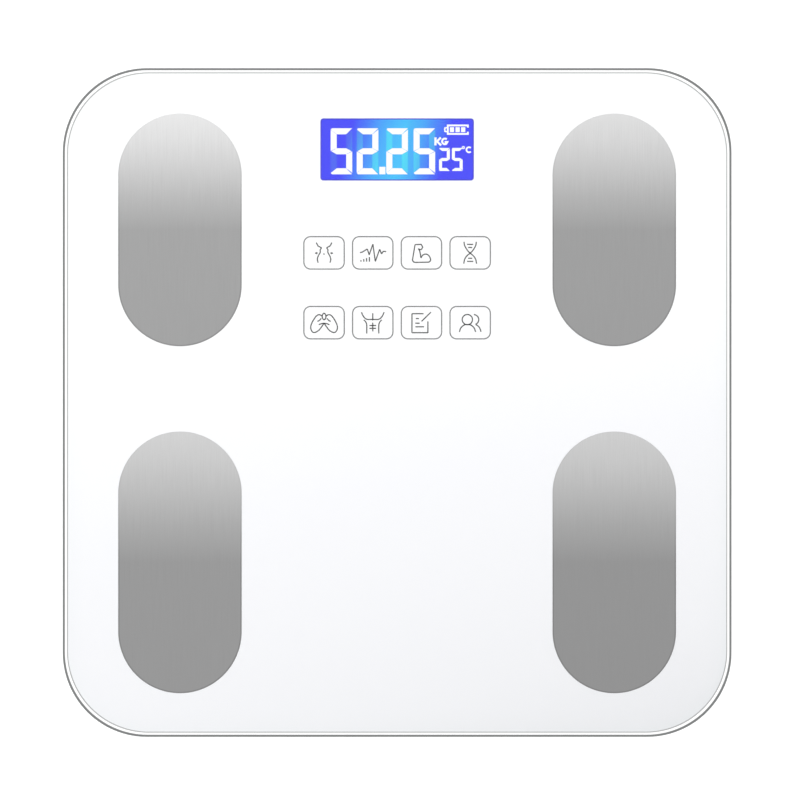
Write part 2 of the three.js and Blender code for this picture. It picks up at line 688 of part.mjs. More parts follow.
// Where a wide flange keeps a post outside the load cell's corner, an arm over the flange reaches in to it.
function retainerArm(restPlace, postPlace, top) {
  const length = (postPlace - restPlace) * Math.SQRT2 + 2 * RETAINER_POST_RADIUS;
  const outline = capsule(2 * RETAINER_POST_RADIUS, length, SMALL_ROUND_STEPS / 2);
  return slab(outline, Z_FLANGE_TOP + FOOT_TRAVEL_GAP, top, 0, (postPlace + restPlace) * Math.SQRT1_2);
}

function retainer(foot) {
  const outline = roundedRect(RETAINER_SIDE, RETAINER_SIDE, RETAINER_CORNER);
  const plate = slab(outline, Z_BASE, Z_RETAINER_TOP);
  const restPlace = LOAD_CELL_SIDE / 2 - LOAD_CELL_CORNER * (1 - Math.SQRT1_2) - RETAINER_POST_RADIUS;
  const clearOfFlange = (FLANGE_RADIUS + RETAINER_POST_GAP + RETAINER_POST_RADIUS) * Math.SQRT1_2;
  const postPlace = Math.max(restPlace, clearOfFlange);
  const top = Z_LOAD_CELL - 2 * BOND;
  const posts = [0, 1, 2, 3].flatMap((quarter) => {
    const turn = ((2 * quarter + 1) * Math.PI) / 4;
    const post = pin(RETAINER_POST_RADIUS, Z_BASE + MARGIN, top, 0, postPlace * Math.SQRT2).rotateZ(turn);
    return postPlace > restPlace ? [post, retainerArm(restPlace, postPlace, top).rotateZ(turn)] : [post];
  });
  const bore = pin(FOOT_RADIUS + RUN, Z_BASE - MARGIN, Z_RETAINER_TOP + MARGIN, 0, 0, ROUND_STEPS);
  const seat = Z_SCREW_HEAD + SCREW_HEAD_HEIGHT + BOND;
  const screwHoles = [SCREW_CORNER, -SCREW_CORNER].flatMap((place) => [
    pin(SCREW_RADIUS + RUN / 2, Z_BASE, Z_RETAINER_TOP + MARGIN, place, -place),
    pin(SCREW_HEAD_RADIUS + RUN / 2, Z_BASE - MARGIN, seat, place, -place),
  ]);
  const geometry = carve(plate, { add: posts, cut: [bore, ...screwHoles] });
  return piece(`load_cell_retainer_${foot.name}`, geometry, retainerPlastic);
}

// A slotted pan-head screw that points up, its head's face at z = 0.
function screw(name) {
  const profile = [
    [0, 0],
    [SCREW_HEAD_RADIUS - 0.4, 0],
    [SCREW_HEAD_RADIUS, 0.4],
    [SCREW_HEAD_RADIUS, SCREW_HEAD_HEIGHT],
    [SCREW_RADIUS, SCREW_HEAD_HEIGHT],
    [SCREW_RADIUS, SCREW_HEAD_HEIGHT + SCREW_LENGTH - SCREW_RADIUS],
    [0, SCREW_HEAD_HEIGHT + SCREW_LENGTH],
  ];
  const half = SCREW_SLOT_WIDTH / 2;
  const slot = box(-SCREW_HEAD_RADIUS, SCREW_HEAD_RADIUS, -half, half, -MARGIN, SCREW_SLOT_DEPTH);
  return piece(name, carve(turned(profile, SMALL_ROUND_STEPS), { cut: [slot] }), nickel);
}

function footAssembly(foot) {
  const group = new THREE.Group();
  group.position.set(foot.x, foot.y, 0);
  group.rotation.z = foot.turn;
  group.add(footCup(foot), footRubber(foot), loadCell(foot), retainer(foot));
  for (const sign of [1, -1]) {
    const fastener = screw(`retainer_screw_${foot.name}_${sign > 0 ? "a" : "b"}`);
    fastener.position.set(sign * SCREW_CORNER, -sign * SCREW_CORNER, Z_SCREW_HEAD);
    group.add(fastener);
  }
  return group;
}

// ---------------------------------------------------------------- battery box

// The cell at side +1 points its positive end to +X, the other one to -X.
function battery(name, side) {
  const end = CELL_LENGTH - CELL_NUB_LENGTH;
  const profile = [
    [0, 0],
    [CELL_RADIUS - CELL_CRIMP, 0],
    [CELL_RADIUS, CELL_CRIMP],
    [CELL_RADIUS, end - CELL_CRIMP],
    [CELL_RADIUS - CELL_CRIMP, end],
    [CELL_NUB_RADIUS, end],
    [CELL_NUB_RADIUS, CELL_LENGTH],
    [0, CELL_LENGTH],
  ];
  const mesh = piece(name, turned(profile, ROUND_STEPS).rotateY(Math.PI / 2), batterySleeve);
  const lowEnd = -BOX_LENGTH / 2 + CONTACT_THICKNESS + SPRING_ROOM + 2 * RUN;
  mesh.position.set(side * lowEnd, BOX_CENTRE_Y + (side * CELL_PITCH) / 2, Z_CELL);
  if (side < 0) mesh.rotation.z = Math.PI;
  return mesh;
}

// A coil that narrows from its plate towards the cell, along +X from x = 0.
function contactCoil(x, y, direction) {
  class Coil extends THREE.Curve {
    getPoint(t, target = new THREE.Vector3()) {
      const angle = 2 * Math.PI * SPRING_TURNS * t;
      const radius = CELL_RADIUS * (0.65 - 0.3 * t);
      const reach = (SPRING_ROOM - RUN) * t - SPRING_WIRE / 2;
      return target.set(
        x + direction * reach,
        y + radius * Math.cos(angle),
        Z_CELL + radius * Math.sin(angle),
      );
    }
  }
  return wire(new Coil(), SPRING_WIRE, COIL_STEPS);
}

// Contact plates stand on the end walls: `end` is -1 or +1, and each side names a cell.
function contactPlate(name, end, platesAt, coilsAt) {
  const wall = (end * BOX_LENGTH) / 2 - end * RUN;
  const face = wall - end * CONTACT_THICKNESS;
  const halfWidth = CELL_RADIUS * 0.8;
  const ys = platesAt.map((side) => BOX_CENTRE_Y + (side * CELL_PITCH) / 2);
  const plate = box(
    Math.min(wall, face),
    Math.max(wall, face),
    Math.min(...ys) - halfWidth,
    Math.max(...ys) + halfWidth,
    Z_CELL - halfWidth,
    Z_CELL + halfWidth,
  );
  const coils = coilsAt.map((side) => contactCoil(face, BOX_CENTRE_Y + (side * CELL_PITCH) / 2, -end));
  return piece(name, carve(plate, { add: coils }), nickel);
}

function batteryDoor() {
  const halfLength = DOOR_LENGTH / 2;
  const front = BOX_CENTRE_Y - DOOR_DEPTH / 2;
  const radius = DOOR_THICKNESS / 2;
  const zAxis = Z_BASE + radius;
  const panel = slab(doorOutline(0, DOOR_HINGE_Y), Z_BASE, Z_DOOR_TOP);
  // The hinge edge is half round about the joint's axis.
  const edge = slab(circle(radius, 16), -halfLength, halfLength)
    .rotateY(Math.PI / 2)
    .translate(0, DOOR_HINGE_Y, zAxis);
  const tabs = [-1, 1].map((side) => {
    const x = (side * DOOR_TAB_SPACING) / 2;
    return box(
      x - DOOR_TAB_WIDTH / 2,
      x + DOOR_TAB_WIDTH / 2,
      DOOR_HINGE_Y,
      DOOR_HINGE_Y + radius + DOOR_TAB_REACH,
      Z_DOOR_TOP - DOOR_TAB_THICKNESS,
      Z_DOOR_TOP,
    );
  });
  const grip = box(
    -DOOR_GRIP_WIDTH / 2,
    DOOR_GRIP_WIDTH / 2,
    front - DOOR_GRIP_REACH,
    front + MARGIN,
    Z_BASE,
    Z_BASE + BASE_WALL / 2,
  );
  return piece("battery_door", carve(panel, { add: [edge, ...tabs, grip] }), trayPlastic);
}

// ---------------------------------------------------------------- electronics

function mainPcb() {
  const board = slab(roundedRect(PCB_WIDTH, PCB_DEPTH, 1.5), Z_PCB, Z_PCB_TOP, 0, PCB_Y);
  const holes = pcbPlaces(-1).map(([x, y]) =>
    pin(SCREW_RADIUS + RUN / 2, Z_PCB - MARGIN, Z_PCB_TOP + MARGIN, x, y),
  );
  return piece("main_pcb", carve(board, { cut: holes }), circuitBoard);
}

function lcdCell() {
  const outline = roundedRect(LCD_WIDTH, LCD_DEPTH, 0.6, 1);
  return piece("lcd_cell", slab(outline, Z_LCD, Z_LCD_TOP, 0, WINDOW_Y), displayGlass);
}

// A frame on the board that holds the display, the light guide and the connector strip.
function lcdBezel() {
  const opening = roundedRect(LCD_WIDTH + 2 * RUN, LCD_DEPTH + 2 * RUN, 0.8, 1);
  const outer = roundedRect(LCD_WIDTH + 2 * BEZEL_WALL, LCD_DEPTH + 2 * BEZEL_WALL, 1.5);
  const frame = slab(outer, Z_PCB_TOP + BOND, Z_LCD_TOP, 0, WINDOW_Y);
  const middle = slab(opening, Z_PCB_TOP - MARGIN, Z_LCD_TOP + MARGIN, 0, WINDOW_Y);
  return piece("lcd_bezel", carve(frame, { cut: [middle] }), bezelPlastic);
}

function backlightPanel() {
  const depth = LCD_DEPTH - ZEBRA_WIDTH - 4 * RUN;
  const y = WINDOW_Y + LCD_DEPTH / 2 - depth / 2;
  const outline = roundedRect(LCD_WIDTH - 2 * RUN, depth, 0.6, 1);
  const geometry = slab(outline, Z_PCB_TOP + BACKLIGHT_LIFT, Z_LCD - BOND, 0, y);
  return piece("backlight_panel", geometry, lightGuide);
}

// Striped rubber strip that joins the display's front edge to the board.
function zebraConnector() {
  const y = WINDOW_Y - LCD_DEPTH / 2 + ZEBRA_WIDTH / 2;
  const halfLength = LCD_WIDTH / 2 - 2 * RUN;
  const geometry = box(
    -halfLength,
    halfLength,
    y - ZEBRA_WIDTH / 2,
    y + ZEBRA_WIDTH / 2,
    Z_PCB_TOP + BOND,
    Z_LCD - BOND,
  );
  return piece("zebra_connector", geometry, zebraRubber);
}

function controllerChip() {
  const outline = roundedRect(CHIP_SIDE, CHIP_SIDE, 0.5, 1);
  const top = Z_PCB - BOND;
  const geometry = slab(outline, top - CHIP_HEIGHT, top, -BUTTON_X, WINDOW_Y);
  return piece("controller_chip", geometry, chipEpoxy);
}

function tactSwitch() {
  const outline = roundedRect(SWITCH_SIDE, SWITCH_SIDE, 0.5, 1);
  const body = slab(outline, Z_SWITCH, Z_PCB - BOND, BUTTON_X, WINDOW_Y);
  const boreTop = Z_SWITCH + SWITCH_BORE_DEPTH;
  const bore = pin(PLUNGER_RADIUS + RUN / 2, Z_SWITCH - MARGIN, boreTop, BUTTON_X, WINDOW_Y);
  return piece("tact_switch", carve(body, { cut: [bore] }), switchMetal);
}

function switchPlunger() {
  const bottom = Z_BUTTON_TOP + BOND;
  const top = Z_SWITCH + PLUNGER_INSERTION;
  const profile = [
    [0, bottom],
    [PLUNGER_RADIUS, bottom],
    [PLUNGER_RADIUS, top],
    [0, top],
  ];
  const geometry = turned(profile, SMALL_ROUND_STEPS).translate(BUTTON_X, WINDOW_Y, 0);
  return piece("switch_plunger", geometry, chipEpoxy);
}

function unitButton() {
  const face = Z_BASE + BUTTON_RECESS;
  const profile = [
    [0, face],
    [BUTTON_RADIUS - 0.5, face],
    [BUTTON_RADIUS, face + 0.5],
    [BUTTON_RADIUS, Z_BUTTON_FLANGE],
    [BUTTON_RADIUS + BUTTON_FLANGE, Z_BUTTON_FLANGE],
    [BUTTON_RADIUS + BUTTON_FLANGE, Z_BUTTON_TOP],
    [0, Z_BUTTON_TOP],
  ];
  const geometry = turned(profile, ROUND_STEPS).translate(BUTTON_X, WINDOW_Y, 0);
  return piece("unit_button", geometry, softRubber);
}

function pcbScrews() {
  return pcbPlaces(-1).map(([x, y], i) => {
    const fastener = screw(`pcb_screw_${i ? "left" : "right"}`);
    fastener.rotation.x = Math.PI;
    fastener.position.set(x, y, Z_PCB_TOP + RUN / 3 + SCREW_HEAD_HEIGHT);
    return fastener;
  });
}

// ---------------------------------------------------------------- leads

function lead(name, points, radius, material) {
  const curve = new THREE.CatmullRomCurve3(
    points.map(([x, y, z]) => new THREE.Vector3(x, y, z)),
    false,
    "centripetal",
  );
  const steps = Math.ceil(curve.getLength() / LEAD_STEP);
  return piece(name, wire(curve, radius, steps), material);
}

// Each load-cell lead leaves its pocket straight, runs to the board and ends under its pad.
function loadCellLeads() {
  const z = Z_TONGUE_ROOM - LOAD_LEAD_RADIUS - RUN;
  const zPad = Z_PCB - LOAD_LEAD_RADIUS - LEAD_GAP;
  const blockEdge = POCKET_SIDE / 2 + POCKET_WALL;
  const distances = [LOAD_CELL_WINDOW / 2 - 3, blockEdge + 1, blockEdge + 4];
  const exit = (foot) =>
    distances.map((d) => [foot.x - d * Math.cos(foot.turn), foot.y - d * Math.sin(foot.turn), z]);
  const approach = PCB_FRONT - 5;
  const insideFoot = FOOT_Y - blockEdge;
  const routes = [
    [
      [CORRIDOR_X + 8, FOOT_Y - 8, z],
      [CORRIDOR_X - 4, approach - 1, z],
      [28, approach, zPad],
      [26, PAD_ROW_Y, zPad],
    ],
    [
      [10 - FOOT_X, insideFoot - 9, z],
      [-CORRIDOR_X - 16, approach - 9, z],
      [-CORRIDOR_X + 4, approach - 2, z],
      [-28, approach, zPad],
      [-26, PAD_ROW_Y, zPad],
    ],
    [
      [-CORRIDOR_X - 8, 12 - FOOT_Y, z],
      [-CORRIDOR_X, -FOOT_Y / 2, z],
      [-CORRIDOR_X, BOX_CENTRE_Y, z],
      [-CORRIDOR_X + 4, approach - 20, z],
      [-CORRIDOR_X + 14, approach - 7, z],
      [-21, approach, zPad],
      [-20, PAD_ROW_Y, zPad],
    ],
    [
      [FOOT_X - 10, 10 - insideFoot, z],
      [CORRIDOR_X + 8, 20 - insideFoot, z],
      [CORRIDOR_X, -FOOT_Y / 4, z],
      [CORRIDOR_X, BOX_CENTRE_Y, z],
      [CORRIDOR_X - 4, approach - 20, z],
      [CORRIDOR_X - 14, approach - 7, z],
      [21, approach, zPad],
      [20, PAD_ROW_Y, zPad],
    ],
  ];
  return FEET.map((foot, i) =>
    lead(`load_cell_lead_${foot.name}`, [...exit(foot), ...routes[i]], LOAD_LEAD_RADIUS, greyWire),
  );
}

// Each electrode lead hangs under the film from its stud and ends on top of the board.
function electrodeLeads() {
  const zPad = Z_PCB_TOP + THIN_LEAD_RADIUS + LEAD_GAP;
  const zStud = Z_FILM - STUD_REACH - THIN_LEAD_RADIUS - LEAD_GAP;
  return ELECTRODES.map((e) => {
    const rear = e.y > 0;
    const padX = e.side * (rear ? 24 : 12);
    const start = [
      [e.x, e.studY, zStud],
      [e.x - e.side * 16, e.studY + 2, zStud],
    ];
    const corridor = rear
      ? [[e.side * (CORRIDOR_X + 6), PCB_FRONT - 18, zStud]]
      : [
          [e.side * (CORRIDOR_X + 7), e.studY + 22, zStud],
          [e.side * (CORRIDOR_X + 5), BOX_CENTRE_Y, zStud],
          [e.side * (CORRIDOR_X - 12), PCB_FRONT - 16, zStud],
        ];
    const end = [
      [padX + e.side, PCB_FRONT - 5, zPad + 1],
      [padX, PAD_ROW_Y, zPad],
    ];
    return lead(`electrode_lead_${e.name}`, [...start, ...corridor, ...end], THIN_LEAD_RADIUS, whiteWire);
  });
}

// The battery leads leave the low-X end of the box and end under the middle of the board.
function batteryLead(name, side, material) {
  const boxEnd = BOX_LENGTH / 2 + BOX_LEDGE + BOX_WALL;
  const x = -boxEnd - THIN_LEAD_RADIUS - LEAD_GAP;
  const y = BOX_CENTRE_Y + (side * CELL_PITCH) / 2;
  const zPad = Z_PCB - THIN_LEAD_RADIUS - LEAD_GAP;
  // The front cell's lead keeps outside the other one all the way.
  const apart = side > 0 ? 0 : 3;
  const points = [
    [x, y, Z_CELL],
    [x - 1 - apart, y + 8, Z_CELL],
    [x - apart, BOX_CENTRE_Y + 26, Z_CELL],
    [-22 - apart, PCB_FRONT - 17 + apart, Z_CELL],
    [side * 4, PCB_FRONT - 8 + apart, zPad],
    [side * 4, PAD_ROW_Y, zPad],
  ];
  return lead(name, points, THIN_LEAD_RADIUS, material);
}

// ---------------------------------------------------------------- assembly

const scale = new THREE.Group();
scale.name = "digital_bathroom_scale";
scale.add(
  glassPlatform(),
  backingFilm(),
  bondTape(),
  ...ELECTRODES.map(electrode),
  baseTray(),
  ...FEET.map(footAssembly),
  batteryDoor(),
  battery("battery_rear", 1),
  battery("battery_front", -1),
  contactPlate("negative_spring", -1, [1], [1]),
  contactPlate("positive_contact", -1, [-1], []),
  contactPlate("link_contact", 1, [1, -1], [-1]),
  batteryLead("battery_lead_black", 1, blackWire),
  batteryLead("battery_lead_red", -1, redWire),
  mainPcb(),
  ...pcbScrews(),
  controllerChip(),
  lcdCell(),
  lcdBezel(),
  backlightPanel(),
  zebraConnector(),
  tactSwitch(),
  switchPlunger(),
  unitButton(),
  ...loadCellLeads(),
  ...electrodeLeads(),
);

export default scale;
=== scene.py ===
"""Digital bathroom scale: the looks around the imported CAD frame, seen from straight above.

Everything is in metres in the frame's own axes: +X right, +Y towards the display, +Z up.
"""
import math

import bmesh
import bpy
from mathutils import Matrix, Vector
from mathutils.geometry import tessellate_polygon


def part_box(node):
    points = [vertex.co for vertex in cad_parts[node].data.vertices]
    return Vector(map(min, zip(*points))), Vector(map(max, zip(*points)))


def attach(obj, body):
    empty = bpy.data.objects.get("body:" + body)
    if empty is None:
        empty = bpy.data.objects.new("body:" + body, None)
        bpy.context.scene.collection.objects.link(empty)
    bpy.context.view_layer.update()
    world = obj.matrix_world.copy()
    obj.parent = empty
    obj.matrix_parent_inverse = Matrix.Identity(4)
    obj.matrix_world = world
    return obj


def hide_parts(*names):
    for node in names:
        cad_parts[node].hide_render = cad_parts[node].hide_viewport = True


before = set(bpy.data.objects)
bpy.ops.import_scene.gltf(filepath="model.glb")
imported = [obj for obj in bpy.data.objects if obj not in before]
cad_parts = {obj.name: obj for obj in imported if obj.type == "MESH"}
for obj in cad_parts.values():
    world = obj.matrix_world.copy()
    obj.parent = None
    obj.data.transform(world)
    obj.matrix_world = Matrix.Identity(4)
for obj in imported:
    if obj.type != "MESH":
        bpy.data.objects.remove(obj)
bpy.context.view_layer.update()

MM = 0.001
BODY = "body"
CORNERS = ("rear_right", "rear_left", "front_left", "front_right")

# Glass edge, from the outside in
CORNER_RADIUS = 32.3 * MM
GLASS_CORNER = 32.7 * MM
CORNER_TIGHTENING = 0.62  # how much the corner radius shrinks with each step in from the edge
CORNER_STEPS = 28
# The rolled edge is painted dark: painted shade along the glass's outer edge
EDGE_ROLL = 0.85 * MM  # width of the dark rolled edge
SLOPE_WIDTH = 2.06 * MM  # glass edge to the flat top
# The thin line is painted grey: painted shade where the slope meets the top
LINE_WIDTH = 0.38 * MM  # thin line where the slope meets the top

# Printed icons, as sizes on the film
ICON_WIDTH = 15.7 * MM
ICON_DEPTH = 12.6 * MM
ICON_CORNER = 2.6 * MM
ICON_PITCH = 18.95 * MM
ICON_ROWS = (40.2 * MM, 67.35 * MM)  # display centre down to each row
FRAME_STROKE = 0.46 * MM
ICON_STROKE = 0.48 * MM
INK_THICKNESS = 0.01 * MM

# Openings in the glass and the film
STUD_HOLE_RADIUS = 2 * MM
STUD_INSET = 25 * MM  # inner end of an electrode to its stud
WINDOW_MARGIN = 2.15 * MM  # edge of the display cell that the film hides
WINDOW_CORNER = 1.2 * MM

# Display
DIGIT_WIDTH = 8.4 * MM
DIGIT_HEIGHT = 17.9 * MM
DIGIT_STROKE = 2.35 * MM
SMALL_DIGIT_SCALE = 0.5
PANEL_BLUE, PANEL_CYAN = (0.036, 0.042, 0.93), (0.036, 0.53, 0.95)
GHOST_BLUE, GHOST_CYAN = (0.05, 0.11, 0.87), (0.05, 0.72, 0.92)

# Painted reflection on the electrodes: tone at the rear end and at the dark end of each pad, brighter on
# the pads towards the rear left, and how it falls along the length
PAD_REFLECTION_TONES = {
    "rear_left": (0.796, 0.350),
    "rear_right": (0.718, 0.322),
    "front_left": (0.626, 0.292),
    "front_right": (0.598, 0.271),
}
PAD_REFLECTION_FALL = ((0.0, 1.0), (0.11, 0.84), (0.2, 0.65), (0.36, 0.28), (0.5, 0.03), (1.0, 0.0))
# Painted shade on each pad's rounded rim: the rim's dark tone is dimmed by this share
RIM_PAINTED_SHADE = 0.78

# Camera: share of the picture's width that the glass takes, and where its centre lies
GLASS_SHARE = 0.8362
CENTRE_SHIFT = (-0.0036, -0.0031)
CAMERA_HEIGHT = 3.0

# Two lengths closer than this count as the same
NEAR = 0.01 * MM


# ---- node materials

class Look:
    """One node material. Every method returns a socket or a node to link on."""

    def __init__(self, name, **settings):
        self.material = bpy.data.materials.new(name)
        self.material.use_nodes = True
        self.nodes = self.material.node_tree.nodes
        self.links = self.material.node_tree.links
        self.shader = self.nodes["Principled BSDF"]
        self.place = self.node("ShaderNodeTexCoord").outputs["Object"]
        for socket, value in settings.items():
            self.set(socket, value)

    def node(self, kind, **properties):
        made = self.nodes.new(kind)
        for key, value in properties.items():
            setattr(made, key, value)
        return made

    def feed(self, slot, value):
        """Links a socket to a slot, or writes a number or a colour into it."""
        if isinstance(value, bpy.types.NodeSocket):
            self.links.new(value, slot)
        else:
            slot.default_value = (*value, 1) if isinstance(value, tuple) else value

    def set(self, socket, value):
        """Feeds a socket of the shader; underscores stand for spaces in its name."""
        self.feed(self.shader.inputs[socket.replace("_", " ")], value)

    def stretched(self, scale):
        mapping = self.node("ShaderNodeMapping")
        mapping.inputs["Scale"].default_value = scale
        self.links.new(self.place, mapping.inputs["Vector"])
        return mapping.outputs["Vector"]

    def noise(self, size, stretch=(1, 1, 1), detail=4, roughness=0.5):
        """Noise whose features are about `size` metres across, longer where stretch is below 1."""
        made = self.node("ShaderNodeTexNoise")
        made.inputs["Scale"].default_value = 1 / size
        made.inputs["Detail"].default_value = detail
        made.inputs["Roughness"].default_value = roughness
        self.links.new(self.stretched(stretch), made.inputs["Vector"])
        return made.outputs["Fac"]

    def axis(self, name):
        split = self.node("ShaderNodeSeparateXYZ")
        self.links.new(self.place, split.inputs[0])
        return split.outputs[name]

    def span(self, value, low, high, to_low=0.0, to_high=1.0):
        """value mapped from low..high to to_low..to_high, clamped."""
        made = self.node("ShaderNodeMapRange")
        self.links.new(value, made.inputs["Value"])
        limits = {"From Min": low, "From Max": high, "To Min": to_low, "To Max": to_high}
        for socket, number in limits.items():
            made.inputs[socket].default_value = number
        return made.outputs["Result"]

    def drift(self, noise, low, high):
        """A number that wanders from low to high with a noise."""
        return self.span(noise, 0.3, 0.7, low, high)

    def mottle(self, noise, colour, darker, lighter):
        """A colour that wanders between two shades of itself with a noise."""
        return self.ramp(noise, ((0.3, shade(colour, darker)), (0.7, shade(colour, lighter))))

    def ramp(self, value, stops):
        made = self.node("ShaderNodeValToRGB")
        elements = made.color_ramp.elements
        while len(elements) < len(stops):
            elements.new(0.5)
        for element, (position, colour) in zip(elements, stops):
            element.position = position
            element.color = (*colour, 1)
        self.links.new(value, made.inputs["Fac"])
        return made.outputs["Color"]

    def mix(self, factor, low, high):
        """Two colours mixed; any of the three may be a socket or a plain value."""
        made = self.node("ShaderNodeMix", data_type="RGBA")
        for index, value in ((0, factor), (6, low), (7, high)):
            self.feed(made.inputs[index], value)
        return made.outputs[2]

    def math(self, operation, a, b=0.0):
        made = self.node("ShaderNodeMath", operation=operation)
        for slot, value in zip(made.inputs, (a, b)):
            self.feed(slot, value)
        return made.outputs[0]

    def pass_light(self, tint):
        """Lets shadow and diffuse rays straight through, so that glass doesn't darken what is under it."""
        path = self.node("ShaderNodeLightPath")
        clear = self.node("ShaderNodeBsdfTransparent")
        self.feed(clear.inputs["Color"], tint)
        mixer = self.node("ShaderNodeMixShader")
        passing = self.math("MAXIMUM", path.outputs["Is Shadow Ray"], path.outputs["Is Diffuse Ray"])
        self.links.new(passing, mixer.inputs[0])
        self.links.new(self.shader.outputs[0], mixer.inputs[1])
        self.links.new(clear.outputs[0], mixer.inputs[2])
        self.links.new(mixer.outputs[0], self.nodes["Material Output"].inputs["Surface"])

    def bump(self, height, depth, strength=1.0):
        """A bump `depth` metres deep from a height of 0 to 1."""
        made = self.node("ShaderNodeBump")
        made.inputs["Distance"].default_value = depth
        made.inputs["Strength"].default_value = strength
        self.links.new(height, made.inputs["Height"])
        self.links.new(made.outputs["Normal"], self.shader.inputs["Normal"])


def shade(colour, factor):
    return tuple(min(1.0, channel * factor) for channel in colour)


def blend(low, high, share):
    return tuple(a + (b - a) * share for a, b in zip(low, high))


def moulded(name, colour, roughness, grain=0.35 * MM, depth=0.012 * MM):
    """Moulded plastic: spark-eroded grain, faint flow marks and rubbed patches."""
    look = Look(name, IOR=1.5)
    flow = look.noise(40 * MM, stretch=(1, 0.4, 1), detail=3)
    tint = look.mottle(flow, colour, 0.94, 1.03)
    dust = look.span(look.noise(2.5 * MM, detail=6), 0.55, 0.8, 0, 0.35)
    look.set("Base_Color", look.mix(dust, tint, shade(colour, 0.88)))
    rubbed = look.noise(14 * MM, detail=5)
    look.set("Roughness", look.drift(rubbed, roughness - 0.08, roughness + 0.08))
    look.bump(look.noise(grain, detail=2), depth)
    return look.material


def rubbery(name, colour, roughness=0.78):
    """Moulded rubber: fine pitting, dusty high spots, no shine."""
    look = Look(name, IOR=1.45, Specular_IOR_Level=0.35)
    dust = look.span(look.noise(1.6 * MM, detail=6, roughness=0.65), 0.45, 0.75, 0, 0.6)
    look.set("Base_Color", look.mix(dust, shade(colour, 0.9), shade(colour, 1.5)))
    look.set("Roughness", look.drift(look.noise(5 * MM), roughness - 0.1, roughness + 0.08))
    look.bump(look.noise(0.25 * MM, detail=3), 0.02 * MM)
    return look.material


def bare_metal(name, colour, roughness, stretch=(1, 1, 1), mark=0.8 * MM):
    """Plated or rolled metal with fine scratches along the stretched axis."""
    look = Look(name, Metallic=1.0)
    scratches = look.noise(mark, stretch=stretch, detail=8, roughness=0.7)
    patches = look.noise(9 * MM, detail=4)
    tint = look.mottle(patches, colour, 0.88, 1.06)
    look.set("Base_Color", look.mix(look.drift(scratches, 0, 0.35), tint, shade(colour, 0.8)))
    look.set("Roughness", look.drift(scratches, roughness - 0.07, roughness + 0.1))
    look.bump(scratches, 0.004 * MM)
    return look.material


def clear_glass(name, ior):
    """Clear low-iron glass with a faint waviness."""
    look = Look(name, Base_Color=(0.995, 1.0, 0.998), IOR=ior, Transmission_Weight=1.0, Roughness=0.0)
    look.bump(look.noise(35 * MM, stretch=(1, 0.5, 1), detail=3), 0.004 * MM, strength=0.3)
    look.pass_light((0.985, 0.985, 0.985))
    return look.material


def glass_edge():
    """Ground side of the glass: pale green, the glass's own tint, in bands of painted light and shade by
    height, dark at both arrises, with fine grinding marks.
    """
    low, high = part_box("glass_platform")
    look = Look("glass_edge", IOR=1.5, Coat_Weight=0.6, Coat_Roughness=0.12)
    height = look.span(look.axis("Z"), low[2], high[2])
    # Painted light and shade: paler bands across the side, dark at the lower and the upper arris
    bands = look.ramp(height, (
        (0.0, (0.30, 0.40, 0.37)),
        (0.18, (0.55, 0.68, 0.64)),
        (0.55, (0.42, 0.55, 0.51)),
        (0.80, (0.60, 0.71, 0.68)),
        (1.0, (0.34, 0.42, 0.40)),
    ))
    grinding = look.noise(0.5 * MM, stretch=(0.06, 0.06, 1), detail=6)
    look.set("Base_Color", look.mix(look.span(grinding, 0.35, 0.7, 0, 0.3), bands, (0.75, 0.82, 0.80)))
    look.set("Roughness", look.drift(grinding, 0.2, 0.42))
    look.bump(grinding, 0.01 * MM)
    look.pass_light((0.9, 0.95, 0.93))
    return look.material


def ground_strip(name, colour, roughness, shine=0.5):
    """One of the narrow ground strips around the top of the glass, in a given colour of painted light: a
    painted highlight on the slope, painted shade on the rolled edge and on the fine line.
    """
    look = Look(name, IOR=1.5, Specular_IOR_Level=shine)
    grit = look.noise(0.3 * MM, detail=4)
    look.set("Base_Color", look.mottle(grit, colour, 0.93, 1.05))
    look.set("Roughness", look.drift(grit, roughness - 0.05, roughness + 0.1))
    look.bump(grit, 0.004 * MM)
    look.pass_light((0.95, 0.95, 0.95))
    return look.material


def white_print():
    """White ink on the film with painted shade: brightest at the display end, greyer and cooler towards the
    front right corner.
    """
    look = Look("white_print", IOR=1.5, Roughness=0.35)
    low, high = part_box("backing_film")
    down = look.span(look.axis("Y"), high[1], low[1])
    across = look.span(look.axis("X"), low[0], high[0], 0.0, 0.45)
    slope = look.span(look.math("ADD", down, look.math("MULTIPLY", across, down)), 0.0, 1.45)
    # Painted shade: the white falls to a cooler grey away from the display end and towards the front right
    # corner
    white, cool_shade = (0.88, 0.88, 0.88), (0.975, 0.975, 1.0)
    painted_light_fall = ((0.30, 1.0), (0.52, 0.955), (0.69, 0.915), (0.83, 0.875), (1.0, 0.80))
    stops = []
    for place, share in painted_light_fall:
        cast = cool_shade if share < 1 else (1.0, 1.0, 1.0)
        stops.append((place, tuple(w * share * c for w, c in zip(white, cast))))
    tone = look.ramp(slope, stops)
    mottle = look.span(look.noise(1.2 * MM, detail=5), 0.35, 0.65, 0, 0.04)
    look.set("Base_Color", look.mix(mottle, tone, (0.7, 0.7, 0.7)))
    look.bump(look.noise(0.4 * MM), 0.003 * MM)
    return look.material


def grey_ink(name, tone):
    look = Look(name, IOR=1.5, Roughness=0.5)
    dots = look.noise(0.15 * MM, detail=2)
    colour = (tone, tone, tone * 1.03)
    look.set("Base_Color", look.ramp(dots, ((0.35, shade(colour, 0.85)), (0.65, shade(colour, 1.15)))))
    return look.material


